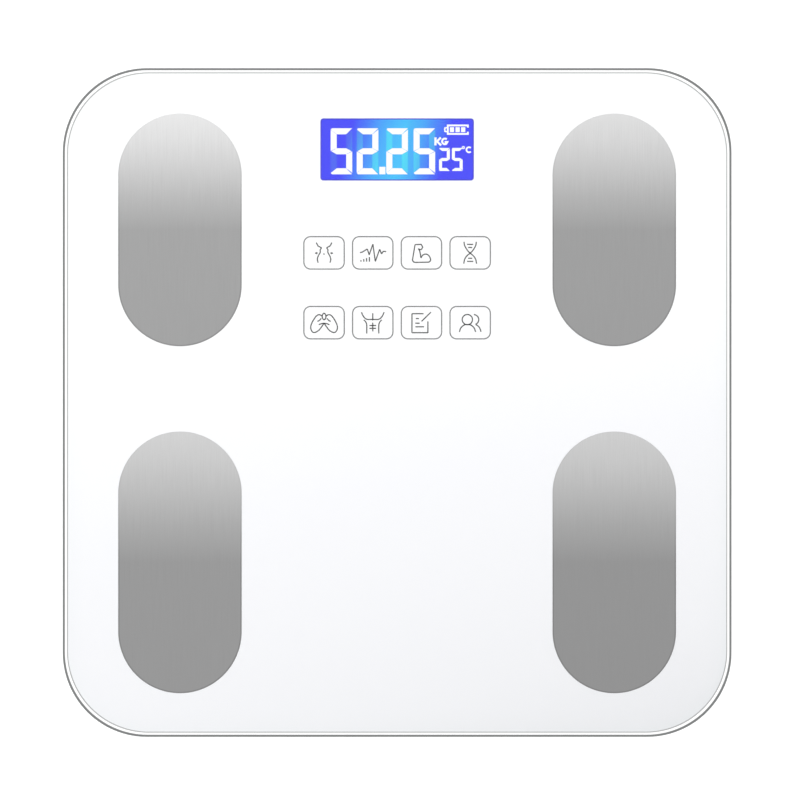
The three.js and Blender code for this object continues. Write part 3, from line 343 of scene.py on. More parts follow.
def electrode_steel(corner, part, rim_shade=1.0):
    """Brushed stainless pad with a painted reflection: bright at its rear end, settling to a mid grey past
    its middle.
    """
    low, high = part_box("electrode_" + corner)
    look = Look(f"electrode_{part}_{corner}", Metallic=1.0)
    along = look.span(look.axis("Y"), high[1], low[1])
    bright, dark = PAD_REFLECTION_TONES[corner]
    # Painted shade: the rim's copy of the steel is darker than the face
    dark *= rim_shade
    # Painted reflection: the pad's colour falls from bright at its rear end to a mid grey along its length
    body = look.ramp(along, [(place, (dark + (bright - dark) * painted_light_fall,) * 3) for place, painted_light_fall in PAD_REFLECTION_FALL])
    brushing = look.noise(0.22 * MM, stretch=(1, 0.012, 1), detail=6, roughness=0.75)
    fine = look.drift(brushing, 0, 0.16)
    look.set("Base_Color", look.mix(fine, body, (0.25, 0.25, 0.255)))
    look.set("Roughness", look.drift(brushing, 0.3, 0.46))
    look.bump(brushing, 0.0025 * MM)
    return look.material


def display_glow(name, blue, cyan, spread=1.0):
    """Lit liquid-crystal panel: violet blue with a slanting cyan band through its middle."""
    centre = middle_of("lcd_cell")
    slant = 0.25
    reach = 30 * MM
    look = Look(name, Base_Color=(0.01, 0.01, 0.02), Specular_IOR_Level=0.0)
    x = look.math("SUBTRACT", look.axis("X"), centre[0])
    y = look.math("SUBTRACT", look.axis("Y"), centre[1])
    slanted = look.math("SUBTRACT", x, look.math("MULTIPLY", y, slant))
    place = look.span(slanted, -reach, reach)
    band = ((0.17, 0.0), (0.29, 0.37), (0.39, 0.74), (0.53, 1.0), (0.63, 0.74), (0.71, 0.37), (0.82, 0.0))
    glow = look.ramp(place, [(stop, blend(blue, cyan, share ** spread)) for stop, share in band])
    streaks = look.noise(6 * MM, stretch=(1, 0.15, 1), detail=2)
    look.set("Emission_Color", look.mix(look.span(streaks, 0.45, 0.65, 0, 0.1), glow, shade(blue, 0.8)))
    look.set("Emission_Strength", 1.0)
    return look.material


def lit(name, colour, strength):
    """A glowing liquid-crystal element with a faint cell texture."""
    look = Look(name, Base_Color=(0.02, 0.02, 0.03), Specular_IOR_Level=0.0)
    grid = look.noise(0.5 * MM, detail=2)
    look.set("Emission_Color", look.mottle(grid, colour, 0.94, 1.0))
    look.set("Emission_Strength", strength)
    return look.material


def circuit_board():
    """Green solder mask with copper tracks showing through as a paler pattern."""
    look = Look("circuit_board", IOR=1.5, Coat_Weight=0.4, Coat_Roughness=0.2)
    tracks = look.node("ShaderNodeTexBrick")
    tracks.inputs["Scale"].default_value = 260
    tracks.inputs["Mortar Size"].default_value = 0.012
    tracks.inputs["Color1"].default_value = (0.015, 0.13, 0.06, 1)
    tracks.inputs["Color2"].default_value = (0.02, 0.17, 0.075, 1)
    tracks.inputs["Mortar"].default_value = (0.06, 0.34, 0.14, 1)
    look.links.new(look.place, tracks.inputs["Vector"])
    look.set("Base_Color", tracks.outputs["Color"])
    look.set("Roughness", look.drift(look.noise(3 * MM), 0.3, 0.5))
    look.bump(tracks.outputs["Fac"], 0.02 * MM)
    return look.material


def battery_sleeve(node, positive_side):
    """Printed sleeve: blue body, pale band and bare metal at both ends, by place along X."""
    low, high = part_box(node)
    ends = (low[0], high[0]) if positive_side > 0 else (high[0], low[0])
    look = Look("sleeve_" + node, Roughness=0.3, IOR=1.5, Coat_Weight=0.5, Coat_Roughness=0.1)
    along = look.span(look.axis("X"), ends[0], ends[1])
    metal, blue, pale = (0.6, 0.59, 0.56), (0.03, 0.12, 0.36), (0.78, 0.78, 0.76)
    bands = ((0.02, metal), (0.025, pale), (0.24, pale), (0.25, blue), (0.955, blue), (0.96, metal))
    colour = look.ramp(along, bands)
    scuffs = look.span(look.noise(1.5 * MM, stretch=(0.2, 1, 1), detail=6), 0.6, 0.8, 0, 0.4)
    look.set("Base_Color", look.mix(scuffs, colour, (0.5, 0.5, 0.5)))
    bare, sleeved = (1, 1, 1), (0, 0, 0)
    look.set("Metallic", look.ramp(along, ((0.0, bare), (0.022, sleeved), (0.957, sleeved), (0.96, bare))))
    return look.material


def striped_silicone():
    """Zebra strip: pink silicone with fine dark conductive layers along X."""
    look = Look("striped_silicone", Roughness=0.65, IOR=1.42)
    wave = look.node("ShaderNodeTexWave", wave_type="BANDS", bands_direction="X")
    wave.inputs["Scale"].default_value = 1200
    look.links.new(look.place, wave.inputs["Vector"])
    dark, pink = (0.04, 0.03, 0.03), (0.72, 0.42, 0.46)
    look.set("Base_Color", look.ramp(wave.outputs["Fac"], ((0.4, dark), (0.6, pink))))
    return look.material


# ---- mesh building

def rounded(width, depth, radius, steps, centre=(0.0, 0.0)):
    """Points of a rounded rectangle, anticlockwise, with no point twice."""
    same = NEAR / 100
    points = []
    for quarter, (sx, sy) in enumerate(((1, 1), (-1, 1), (-1, -1), (1, -1))):
        for i in range(steps + 1):
            angle = (quarter + i / steps) * math.pi / 2
            x = centre[0] + sx * (width / 2 - radius) + radius * math.cos(angle)
            y = centre[1] + sy * (depth / 2 - radius) + radius * math.sin(angle)
            if not points or math.dist(points[-1], (x, y)) > same:
                points.append((x, y))
    if math.dist(points[0], points[-1]) < same:
        points.pop()
    return points


def added(name, data):
    """A new object in the scene."""
    thing = bpy.data.objects.new(name, data)
    bpy.context.scene.collection.objects.link(thing)
    return thing


def solid_mesh(name, bm):
    """Turns a bmesh into a mesh with its faces pointing out."""
    bmesh.ops.recalc_face_normals(bm, faces=bm.faces)
    mesh = bpy.data.meshes.new(name)
    bm.to_mesh(mesh)
    bm.free()
    return mesh


def finish_piece(name, bm, materials, replaced=(), body=BODY, smooth_angle=35):
    """Turns a bmesh into a piece of the object that rides on a CAD body."""
    mesh = solid_mesh(name, bm)
    for material in materials:
        mesh.materials.append(material)
    mesh.shade_smooth()
    mesh.set_sharp_from_angle(angle=math.radians(smooth_angle))
    piece = added(name, mesh)
    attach(piece, body)
    if replaced:
        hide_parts(*replaced)
    return piece


def band(bm, low, high):
    """Faces between two rings of points, either of which may be a single point."""
    faces = []
    for i in range(max(len(low), len(high))):
        a, b = (low[k % len(low)] for k in (i, i + 1))
        c, d = (high[k % len(high)] for k in (i + 1, i))
        faces.append(bm.faces.new(tuple(dict.fromkeys((a, b, c, d)))))
    return faces


def stack(bm, outline_at, profile, zones=None):
    """Skins outline_at(inset) at height z, for each (inset, z) of a profile.

    zones holds a material index for the first cap, each band and the last cap.
    """
    zones = zones or [0] * (len(profile) + 1)
    loops = [[bm.verts.new((x, y, z)) for x, y in outline_at(inset)] for inset, z in profile]
    lower = bm.faces.new(list(reversed(loops[0])))
    lower.material_index = zones[0]
    for low, high, zone in zip(loops, loops[1:], zones[1:]):
        for face in band(bm, low, high):
            face.material_index = zone
    upper = bm.faces.new(loops[-1])
    upper.material_index = zones[-1]


def prism(bm, points, low, high, holes=()):
    """A flat outline with holes, from z = low to z = high."""
    loops = [points, *(list(reversed(hole)) for hole in holes)]
    flat = [point for loop in loops for point in loop]
    bottom = [bm.verts.new((x, y, low)) for x, y in flat]
    top = [bm.verts.new((x, y, high)) for x, y in flat]
    for a, b, c in tessellate_polygon([[Vector((x, y, 0)) for x, y in loop] for loop in loops]):
        bm.faces.new((top[a], top[b], top[c]))
        bm.faces.new((bottom[c], bottom[b], bottom[a]))
    start = 0
    for loop in loops:
        end = start + len(loop)
        band(bm, bottom[start:end], top[start:end])
        start = end


def turned(bm, profile, centre, steps=64):
    """A profile of (radius, z) points that starts and ends on the axis, turned about Z."""
    loops = []
    for radius, z in profile:
        angles = [2 * math.pi * i / steps for i in range(steps if radius else 1)]
        points = [(centre[0] + radius * math.cos(a), centre[1] + radius * math.sin(a), z) for a in angles]
        loops.append([bm.verts.new(point) for point in points])
    for low, high in zip(loops, loops[1:]):
        band(bm, low, high)


def spline(a, b, c, d, t):
    """One coordinate of a Catmull-Rom curve, a share t of the way from b to c."""
    bend = (2 * a - 5 * b + 4 * c - d) * t * t
    return 0.5 * (2 * b + (c - a) * t + bend + (3 * b - a - 3 * c + d) * t ** 3)


def curve(points):
    """Extra points along a curve through given ones."""
    steps = 6
    last = len(points) - 1
    result = []
    for i in range(last):
        near = [points[min(max(i + k, 0), last)] for k in (-1, 0, 1, 2)]
        for step in range(steps):
            result.append(tuple(spline(*axis, step / steps) for axis in zip(*near)))
    return [*result, points[-1]]


def ribbon(bm, points, width, low, high, closed=False):
    """A flat stroke of constant width along points, as a closed thin solid."""
    sharpest = 0.45  # keeps the outer point of a sharp turn from running far out
    count = len(points)
    left, right = [], []
    for i, point in enumerate(points):
        before = points[i - 1] if closed or i else point
        after = points[(i + 1) % count] if closed or i + 1 < count else point
        legs = [Vector(b) - Vector(a) for a, b in ((before, point), (point, after)) if a != b]
        normals = [Vector((-leg.y, leg.x)).normalized() for leg in legs]
        middle = sum(normals, Vector((0, 0))).normalized()
        offset = middle * (width / 2) / max(sharpest, middle.dot(normals[0]))
        left.append(Vector(point) + offset)
        right.append(Vector(point) - offset)
    rows = [[bm.verts.new((p.x, p.y, z)) for p in side] for z in (low, high) for side in (left, right)]
    low_left, low_right, high_left, high_right = rows
    for i in range(count if closed else count - 1):
        j = (i + 1) % count
        bm.faces.new((high_left[i], high_right[i], high_right[j], high_left[j]))
        bm.faces.new((low_left[j], low_right[j], low_right[i], low_left[i]))
        bm.faces.new((low_left[i], high_left[i], high_left[j], low_left[j]))
        bm.faces.new((high_right[i], low_right[i], low_right[j], high_right[j]))
    if not closed:
        bm.faces.new((low_left[0], low_right[0], high_right[0], high_left[0]))
        bm.faces.new((high_left[-1], high_right[-1], low_right[-1], low_left[-1]))


def refine_arcs(bm, centre_of, smallest, cuts):
    """Splits facets that follow an arc about an upright axis and moves the new points out onto the arc.

    centre_of(x, y) gives the arc's centre, or None where there is no arc. Arcs smaller than the smallest
    radius stay as they are.
    """
    shortest, longest = 0.02, 0.3  # facet lengths that belong to an arc, as shares of its radius
    reach = bm.verts.layers.float.new("reach")
    for vert in bm.verts:
        centre = centre_of(vert.co.x, vert.co.y)
        vert[reach] = math.dist(vert.co[:2], centre) if centre else 0.0

    def follows_arc(edge):
        a, b = edge.verts
        level = abs(a.co.z - b.co.z) < NEAR
        same = abs(a[reach] - b[reach]) < NEAR
        one_facet = shortest < edge.calc_length() / max(a[reach], MM) < longest
        return a[reach] > smallest and level and same and one_facet

    known = set(bm.verts)
    facets = [edge for edge in bm.edges if follows_arc(edge)]
    bmesh.ops.subdivide_edges(bm, edges=facets, cuts=cuts, use_grid_fill=True)
    for vert in bm.verts:
        centre = None if vert in known else centre_of(vert.co.x, vert.co.y)
        if centre:
            out = (vert.co.xy - Vector(centre)).normalized() * vert[reach]
            vert.co.x, vert.co.y = Vector(centre) + out
    bm.verts.layers.float.remove(reach)


def platform_corner(x, y):
    """Centre of the platform's corner rounding for a point out in one of its corners."""
    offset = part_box("glass_platform")[1][0] - CORNER_RADIUS
    edge = offset - 5 * NEAR
    if abs(x) < edge or abs(y) < edge:
        return None
    return math.copysign(offset, x), math.copysign(offset, y)


def plan(node, inset=0.0):
    """Centre, width and depth of a CAD node seen from above, less an inset all round."""
    low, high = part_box(node)
    width, depth = (high[axis] - low[axis] - 2 * inset for axis in (0, 1))
    return ((low[0] + high[0]) / 2, (low[1] + high[1]) / 2), width, depth


def middle_of(node):
    return plan(node)[0]


def outline_of(node, inset, radius, steps):
    """Rounded rectangle along a CAD node's edges seen from above, inset all round."""
    centre, width, depth = plan(node, inset)
    return rounded(width, depth, radius, steps, centre)


def cut_away(piece, bm):
    """Cuts the solids of a bmesh out of a piece."""
    tool = added("cutting_tool", solid_mesh("cutting_tool", bm))
    cutter = piece.modifiers.new("cut", "BOOLEAN")
    cutter.operation = "DIFFERENCE"
    cutter.object = tool
    cutter.solver = "EXACT"
    depsgraph = bpy.context.evaluated_depsgraph_get()
    result = bpy.data.meshes.new_from_object(piece.evaluated_get(depsgraph))
    piece.modifiers.clear()
    piece.data = result
    bpy.data.objects.remove(tool)


def softened(node, name, material, width, refine=None, body=BODY):
    """A copy of a CAD node with its facets merged and its sharp edges rounded, to stand for it."""
    angle = 28  # degrees between two faces from which an edge counts as sharp
    bm = bmesh.new()
    bm.from_mesh(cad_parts[node].data)
    bmesh.ops.remove_doubles(bm, verts=bm.verts, dist=NEAR / 10)
    bmesh.ops.dissolve_limit(bm, angle_limit=math.radians(1), verts=bm.verts, edges=bm.edges)
    if refine:
        refine_arcs(bm, *refine)
    piece = finish_piece(name, bm, [material], (node,), body, angle)
    bevel = piece.modifiers.new("edges", "BEVEL")
    bevel.width = width
    bevel.segments = 2
    bevel.limit_method = "ANGLE"
    bevel.angle_limit = math.radians(angle)
    bevel.harden_normals = True


# ---- platform

def glass_outline(inset):
    return outline_of("glass_platform", inset, GLASS_CORNER - CORNER_TIGHTENING * inset, CORNER_STEPS)


def stud_centres():
    """Where each electrode's stud goes through the glass."""
    centres = {}
    for corner in CORNERS:
        (x, y), _, length = plan("electrode_" + corner)
        centres[corner] = (x, y - math.copysign(length / 2 - STUD_INSET, y))
    return centres


def build_glass():
    low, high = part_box("glass_platform")
    bottom, top = low[2], high[2]
    arris = 0.6 * MM
    roll_drop, roll_rise = 0.9 * MM, 0.62 * MM
    roll_steps = 6
    # (inset, height) up the edge: lower arris, side, rolled edge, slope, fine line
    roll = []
    for i in range(roll_steps + 1):
        angle = i / roll_steps * math.pi / 2
        roll.append((EDGE_ROLL * (1 - math.cos(angle)), top - roll_drop + roll_rise * math.sin(angle)))
    line_start = (SLOPE_WIDTH - LINE_WIDTH, top - 5 * NEAR)
    profile = [(arris, bottom), (0.0, bottom + arris), *roll, line_start, (SLOPE_WIDTH, top)]
    clear, bonded, side, rolled, slope, line = range(6)
    zones = [bonded, side, side, *[rolled] * (len(roll) - 1), slope, line, clear]
    bm = bmesh.new()
    stack(bm, glass_outline, profile, zones)
    # Painted light on the edge: the rolled edge is painted dark as shade, the slope painted white as a
    # highlight and the fine line painted grey as shade
    materials = [
        clear_glass("clear_glass", 1.5),
        clear_glass("bonded_face", 1.0),
        glass_edge(),
        ground_strip("rolled_edge_painted_shade", (0.19, 0.195, 0.193), 0.6, shine=0.1),
        ground_strip("ground_slope_painted_highlight", (0.93, 0.93, 0.93), 0.4),
        ground_strip("slope_line_painted_shade", (0.36, 0.36, 0.36), 0.5, shine=0.2),
    ]
    glass = finish_piece("platform_glass", bm, materials, ("glass_platform",))
    holes = bmesh.new()
    hole = ((0, bottom - MM), (STUD_HOLE_RADIUS, bottom - MM), (STUD_HOLE_RADIUS, top + MM), (0, top + MM))
    for centre in stud_centres().values():
        turned(holes, hole, centre, steps=24)
    cut_away(glass, holes)


def window_outline(inset=0.0):
    return outline_of("lcd_cell", WINDOW_MARGIN + inset, WINDOW_CORNER, 6)


def film_levels():
    """Bottom and top of the film, kept a hair below the glass so that the ink has room."""
    low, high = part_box("backing_film")
    return low[2], high[2] - 5 * NEAR


def build_film():
    bottom, top = film_levels()
    inset = (plan("glass_platform")[1] - plan("backing_film")[1]) / 2
    edge = outline_of("backing_film", 0.0, CORNER_RADIUS - inset, CORNER_STEPS)
    studs = [circle_path(*stud, STUD_HOLE_RADIUS)[:-1] for stud in stud_centres().values()]
    bm = bmesh.new()
    prism(bm, edge, bottom, top, [window_outline(), *studs])
    finish_piece("printed_film", bm, [white_print()], ("backing_film",))


def pad_profile(bottom, top):
    """(inset, z) up the edge of an electrode: a tight rounded edge, then the rim's flat part."""
    radius = 0.14 * MM
    rim_width = 0.55 * MM
    arc = []
    for i in range(4, -1, -1):
        angle = i * math.pi / 8
        arc.append((radius * (1 - math.sin(angle)), top - radius * (1 - math.cos(angle))))
    return [(0.0, bottom), *arc, (rim_width, top)]


def build_electrode(corner, stud_centre):
    node = "electrode_" + corner
    low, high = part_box(node)
    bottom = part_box("glass_platform")[1][2] + 2 * NEAR

    def outline(inset):
        return outline_of(node, inset, plan(node, inset)[1] / 2, 32)

    profile = pad_profile(bottom, high[2])
    face, rim = 0, 1
    bm = bmesh.new()
    stack(bm, outline, profile, [face, *[rim] * (len(profile) - 1), face])
    radius = 1.5 * MM
    taper = 0.3 * MM
    tip = low[2]
    stud = ((0, tip), (radius - taper, tip), (radius, tip + taper), (radius, bottom), (0, bottom))
    turned(bm, stud, stud_centre, steps=24)
    # The rim gets a darker copy of the steel: painted shade on the pad's rounded edge
    materials = [electrode_steel(corner, "face"), electrode_steel(corner, "rim", RIM_PAINTED_SHADE)]
    pad = finish_piece("electrode_pad_" + corner, bm, materials, (node,), smooth_angle=50)
    # Light spreads inside the sheet of glass, so a pad leaves no soft shadow on the white print.
    pad.visible_shadow = False
    pad.visible_diffuse = False


# ---- icons

def mirrored(path):
    return [(-x, y) for x, y in path]


def circle_path(x, y, radius, start=0.0, end=360.0, steps=24):
    angles = (math.radians(start + (end - start) * i / steps) for i in range(steps + 1))
    return [(x + radius * math.cos(a), y + radius * math.sin(a)) for a in angles]


def waist_icon():
    side = curve([
        (-3, 4), (-2.3, 2.7), (-1.1, 2), (-1.5, 1.2), (-1.5, 0.2), (-2.3, -1.3), (-2.6, -2.6), (-2.3, -3.8),
    ])
    arrow = [(-3.5, -0.1), (-2.6, -0.1)]
    head = [(-3, 0.2), (-2.6, -0.1), (-3, -0.4)]
    navel = [(-0.15, -0.2), (0.1, -0.7)]
    return [side, mirrored(side), arrow, mirrored(arrow), head, mirrored(head), navel]


def heartbeat_icon():
    beat = [
        (-5, 0.1), (-4.1, 0.3), (-2.1, 1.5), (-1.4, -0.8), (0.05, 3.4),
        (1, -3.3), (2.7, 1.4), (3.4, -0.4), (4.1, 0.6), (5.2, 0.5),
    ]
    # Four plain gauge bars take the place of lettering under the line.
    bars = [[(x, -3.4), (x, top)] for x, top in ((-4.6, -2.8), (-3.5, -2.4), (-2.4, -2), (-1.3, -1.6))]
    return [beat, *bars]


def arm_icon():
    outline = [
        (-1, 1.5), (-0.1, 1.2), (0.5, 2.2), (-0.1, 3.3), (-2.5, 3.2), (-3.5, -2.8),
        (-3.1, -3.5), (-2.4, -3.7), (2.9, -3.6), (3.6, -3),
    ]
    biceps = curve([(3.6, -3), (3.3, -1.7), (2.4, -0.7), (1.4, -0.5), (0.4, -1), (-0.2, -2)])
    inner = [(-1.3, 1.7), (-0.7, 0.9), (-0.4, -0.6), (-0.2, -2)]
    return [outline, biceps, inner]


def helix_icon():
    strand = curve([
        (-2.4, 4.3), (-2.1, 2.7), (-1, 0.9), (0, -0.1), (1.2, -1.1), (2.1, -2.4), (2.5, -4.2),
    ])
    rungs = [[(-half, y), (half, y)] for half, y in ((1.2, 3.3), (0.8, 2.1), (0.8, -2.1), (1.2, -3.3))]
    return [strand, mirrored(strand), *rungs]


def lungs_icon():
    lobe = curve([
        (-0.7, 2.5), (-1.8, 3.1), (-3.1, 2.5), (-4.7, 0), (-5.2, -2), (-4.6, -3.5),
        (-3.5, -3.8), (-2, -2.9), (-0.8, -1.4), (0, -0.2),
    ])
    windpipe = curve([
        (0, 3.8), (-0.65, 3), (-0.65, 1.9), (0, 1.1), (0.65, 1.9), (0.65, 3), (0, 3.8),
    ])
    upper = curve([(-2.6, 0.5), (-1.8, 0.9), (-1.1, 1.7)])
    lower = curve([(-2.1, -0.8), (-1.1, -0.4), (0, -0.2)])
    return [lobe, mirrored(lobe), windpipe, upper, mirrored(upper), lower, mirrored(lower)]


def torso_icon():
    shoulder = curve([(-4.4, 4.1), (-3.9, 2.9), (-3.2, 1.9), (-2.4, 1.35), (-1.6, 1.25)])
    chest = [*shoulder, *reversed(mirrored(shoulder))]
    flank = curve([(-3.5, 1.1), (-2.7, 0.2), (-2.35, -1), (-2.35, -4.2)])
    spine = [[(0, 3.7), (0, 0.9)], [(0, 0), (0, -3.4)]]
    muscles = [[(-1.3, y), (1.3, y)] for y in (-1.1, -2.2)]
    return [chest, flank, mirrored(flank), *spine, *muscles]


def note_icon():
    sheet = [(0.8, 3.5), (-3.7, 3.5), (-3.7, -3.9), (2.5, -3.9), (2.5, 0.5)]
    lines = [[(-2.2, 1.6), (-1, 1.6)], [(-2.4, -0.2), (-0.7, -0.2)], [(-2.4, -1.6), (1, -1.6)]]
    pencil = [(0, 0.5), (3.7, 4.1)]
    return [sheet, *lines, pencil]


def people_icon():
    head = circle_path(-1.1, 1.2, 2)
    shoulders = curve([
        (-4.2, -3.6), (-3.6, -2), (-2.3, -0.9), (-1.1, -0.75), (0.3, -0.95), (1.5, -2), (2.1, -3.6),
    ])
    other_head = circle_path(1.4, 1.2, 1.95, 88, -70, 12)
    other_shoulder = curve([(2.1, -0.7), (3.2, -1.4), (3.9, -2.5), (4.2, -3.6)])
    return [head, shoulders, other_head, other_shoulder]


ICONS = (
    (waist_icon, heartbeat_icon, arm_icon, helix_icon),
    (lungs_icon, torso_icon, note_icon, people_icon),
)


def split_at_corners(path):
    """Runs of a path between its sharp turns, so that each stroke keeps its full width."""
    sharpest = math.radians(65)
    runs = [[path[0]]]
    for before, here, after in zip(path, path[1:], path[2:]):
        runs[-1].append(here)
        turn = (Vector(here) - Vector(before)).angle(Vector(after) - Vector(here))
        if turn > sharpest:
            runs.append([here])
    runs[-1].append(path[-1])
    return runs


def build_icons():
    """Printed line icons in their frames, on the film under the glass."""
    bottom = film_levels()[1] + INK_THICKNESS / 2
    top = bottom + INK_THICKNESS
    centre = middle_of("lcd_cell")
    frame_ink = grey_ink("frame_ink", 0.15)
    icon_ink = grey_ink("icon_ink", 0.05)
    for row, drop in zip(ICONS, ICON_ROWS):
        for column, draw in enumerate(row):
            x = centre[0] + (column - (len(row) - 1) / 2) * ICON_PITCH
            y = centre[1] - drop
            bm = bmesh.new()
            outline = rounded(ICON_WIDTH, ICON_DEPTH, ICON_CORNER, 8, (x, y))
            ribbon(bm, outline, FRAME_STROKE, bottom, top, closed=True)
            border_faces = len(bm.faces)
            for path in draw():
                for run in split_at_corners([(x + px * MM, y + py * MM) for px, py in path]):
                    ribbon(bm, run, ICON_STROKE, bottom, top)
            for index, face in enumerate(bm.faces):
                face.material_index = 0 if index < border_faces else 1
            finish_piece(draw.__name__, bm, [frame_ink, icon_ink])


# ---- display

def segment_shapes(width, height, stroke):
    """The seven segments of a figure as outlines, from its lower left corner."""
    # All as shares of the stroke: gap between segments, pointed ends and cut corners
    gap = stroke * 0.02
    mid = height / 2
    half = stroke / 2
    nose = stroke * 0.1
    bevel = stroke * 0.22

    def flipped(outline, across=False, over=False):
        return [(width - x if across else x, height - y if over else y) for x, y in outline]

    upper_left = [
        (0, height - bevel - gap), (stroke, height - stroke - gap),
        (stroke, mid + half + gap), (0, mid + 2 * gap),
    ]
    top = [
        (bevel, height), (width - gap, height), (width - stroke - gap, height - stroke),
        (stroke + gap, height - stroke), (gap, height - bevel),
    ]
    middle = [
        (nose, mid), (stroke, mid + half), (width - stroke, mid + half), (width - nose, mid),
        (width - stroke, mid - half), (stroke, mid - half),
    ]
    return {
        "a": top,
        "b": flipped(upper_left, across=True),
        "c": flipped(upper_left, across=True, over=True),
        "d": flipped(top, over=True),
        "e": flipped(upper_left, over=True),
        "f": upper_left,
        "g": middle,
    }


LIT = {"5": "afgcd", "2": "abged"}


def add_figure(lit_mesh, dark_mesh, figure, corner, scale, low, high):
    """A figure from its lower left corner: lit segments in one mesh, the others in the other."""
    shapes = segment_shapes(DIGIT_WIDTH * scale, DIGIT_HEIGHT * scale, DIGIT_STROKE * scale)
    for key, outline in shapes.items():
        target = lit_mesh if key in LIT[figure] else dark_mesh
        if target is not None:
            prism(target, [(corner[0] + x, corner[1] + y) for x, y in outline], low, high)


def block(bm, start, end, low, high):
    (x0, y0), (x1, y1) = start, end
    prism(bm, [(x0, y0), (x1, y0), (x1, y1), (x0, y1)], low, high)


def add_small_marks(bm, at, low, high):
    """Unit letters, the degree sign and the battery gauge, in millimetres from the window's centre."""
    def stroke(points, width, closed=False):
        ribbon(bm, [at(*point) for point in points], width * MM, low, high, closed)

    stroke([(14.9, 1.6), (14.9, 4.7)], 0.85)
    stroke([(17.0, 4.65), (15.5, 3.15), (17.1, 1.6)], 0.8)
    stroke(circle_path(18.6, 3.15, 1.1, 50, 295, 12) + [(19.5, 2.9), (18.5, 2.9)], 0.75)
    stroke(circle_path(25.75, 0.75, 0.42, 0, 330, 11), 0.4, closed=True)
    stroke(circle_path(27.95, -0.1, 1.0, 45, 315, 12), 0.65)
    # Battery gauge: nub, open outline and three bars
    stroke([(27.5, 6.9), (27.5, 6.05), (19.7, 6.05), (19.7, 9.35), (27.5, 9.35), (27.5, 8.5)], 0.7)
    stroke([(19.4, 8.5), (18.6, 8.35), (18.5, 7.7), (18.6, 7.05), (19.4, 6.9)], 0.55)
    bar_width = 1.65
    for x in (20.5, 22.7, 24.85):
        block(bm, at(x, 6.75), at(x + bar_width, 8.65), low, high)


def build_panel():
    """The lit display glass, with a small bevel along its upper edge."""
    low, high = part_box("lcd_cell")
    bevel = 0.15 * MM

    def outline(inset):
        return outline_of("lcd_cell", inset, 0.6 * MM, 4)

    bm = bmesh.new()
    stack(bm, outline, ((0, low[2]), (0, high[2] - bevel), (bevel, high[2])))
    glow = display_glow("panel_glow", PANEL_BLUE, PANEL_CYAN)
    finish_piece("display_panel", bm, [glow], ("lcd_cell",))


def build_border(low, high):
    """Darker line round the window, partly under the film."""
    line, hidden = 0.45 * MM, 0.5 * MM
    hole = outline_of("lcd_cell", WINDOW_MARGIN + line, 2 * line, 6)
    bm = bmesh.new()
    prism(bm, window_outline(-hidden), low, high, [hole])
    finish_piece("display_border", bm, [lit("border_glow", (0.03, 0.03, 0.62), 1.0)])


def build_display():
    """The panel, its border, and the figures a hair above it."""
    centre = middle_of("lcd_cell")
    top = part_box("lcd_cell")[1][2]
    build_panel()
    build_border(top + NEAR, top + 3 * NEAR)

    def at(x, y):
        return centre[0] + x * MM, centre[1] + y * MM

    low, high = top + 2 * NEAR, top + 4 * NEAR
    bright, ghost = bmesh.new(), bmesh.new()
    base, small_base = -9.65, -8.35  # foot of the figures
    point = (-6.9, base), (-4.55, -6.75)
    for figure, x in (("5", -25.85), ("2", -15.7), ("2", -4.2), ("5", 6.4)):
        add_figure(bright, ghost, figure, at(x, base), 1.0, low, high)
    for figure, x in (("2", 16.3), ("5", 21.3)):
        add_figure(bright, None, figure, at(x, small_base), SMALL_DIGIT_SCALE, low, high)
    block(bright, *(at(*corner) for corner in point), low, high)
    add_small_marks(bright, at, low, high)
    white = lit("figure_glow", (1.0, 1.0, 1.0), 1.02)
    finish_piece("display_figures", bright, [white])
    ghost_glow = display_glow("ghost_glow", GHOST_BLUE, GHOST_CYAN, spread=0.6)
    finish_piece("display_ghosts", ghost, [ghost_glow])


# ---- tray, door and feet

def build_tray():
    plastic = moulded("tray_plastic", (0.62, 0.63, 0.63), 0.5)
    corners = (platform_corner, 15 * MM, 3)
    softened("base_tray", "tray_shell", plastic, 0.3 * MM, corners)
    foam = moulded("foam_tape", (0.74, 0.74, 0.71), 0.8, grain=0.5 * MM, depth=0.05 * MM)
    softened("bond_tape", "tape_ring", foam, 0.05 * MM, corners)
    door = moulded("door_plastic", (0.60, 0.61, 0.61), 0.52)
    softened("battery_door", "door_panel", door, 0.2 * MM, body="battery_door")
    build_door_grip(door)


def patch(bm, x, y, width, depth, face, height, radius=0.2 * MM):
    """Small block with a soft outer edge, standing on a face, or below it if height is negative."""
    up = math.copysign(1, height)
    soft = min(0.2 * MM, radius / 2)
    end = face + height

    def outline(inset):
        return rounded(width - 2 * inset, depth - 2 * inset, radius - inset / 2, 4, (x, y))

    stack(bm, outline, ((0, face - 2 * NEAR * up), (0, end - soft * up), (soft, end)))


def build_door_grip(material):
    """Three ribs beside the catch, each shorter than the last, for a fingertip to pull on."""
    low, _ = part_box("battery_door")
    middle = middle_of("battery_door")[0]
    margin, pitch = 7.5 * MM, 2.2 * MM
    longest, shortening = 16 * MM, 3 * MM
    rise = 0.45 * MM
    bm = bmesh.new()
    for i in range(3):
        patch(bm, middle, low[1] + margin + pitch * i, longest - shortening * i, MM, low[2], -rise, rise)
    finish_piece("door_grip", bm, [material], body="battery_door")


def build_foot(corner, plastic, rubber, steel):
    cup = "foot_cup_" + corner
    centre = middle_of(cup)
    about_foot = (lambda x, y: centre, 5 * MM, 2)
    softened(cup, "foot_shell_" + corner, plastic, 0.25 * MM, about_foot, "foot_" + corner)
    build_rubber(corner, centre, rubber)
    retainer = "load_cell_retainer_" + corner
    softened(retainer, "retainer_plate_" + corner, plastic, 0.2 * MM)
    for side in "ab":
        build_screw(f"retainer_screw_{corner}_{side}", f"plate_screw_{corner}_{side}", steel)


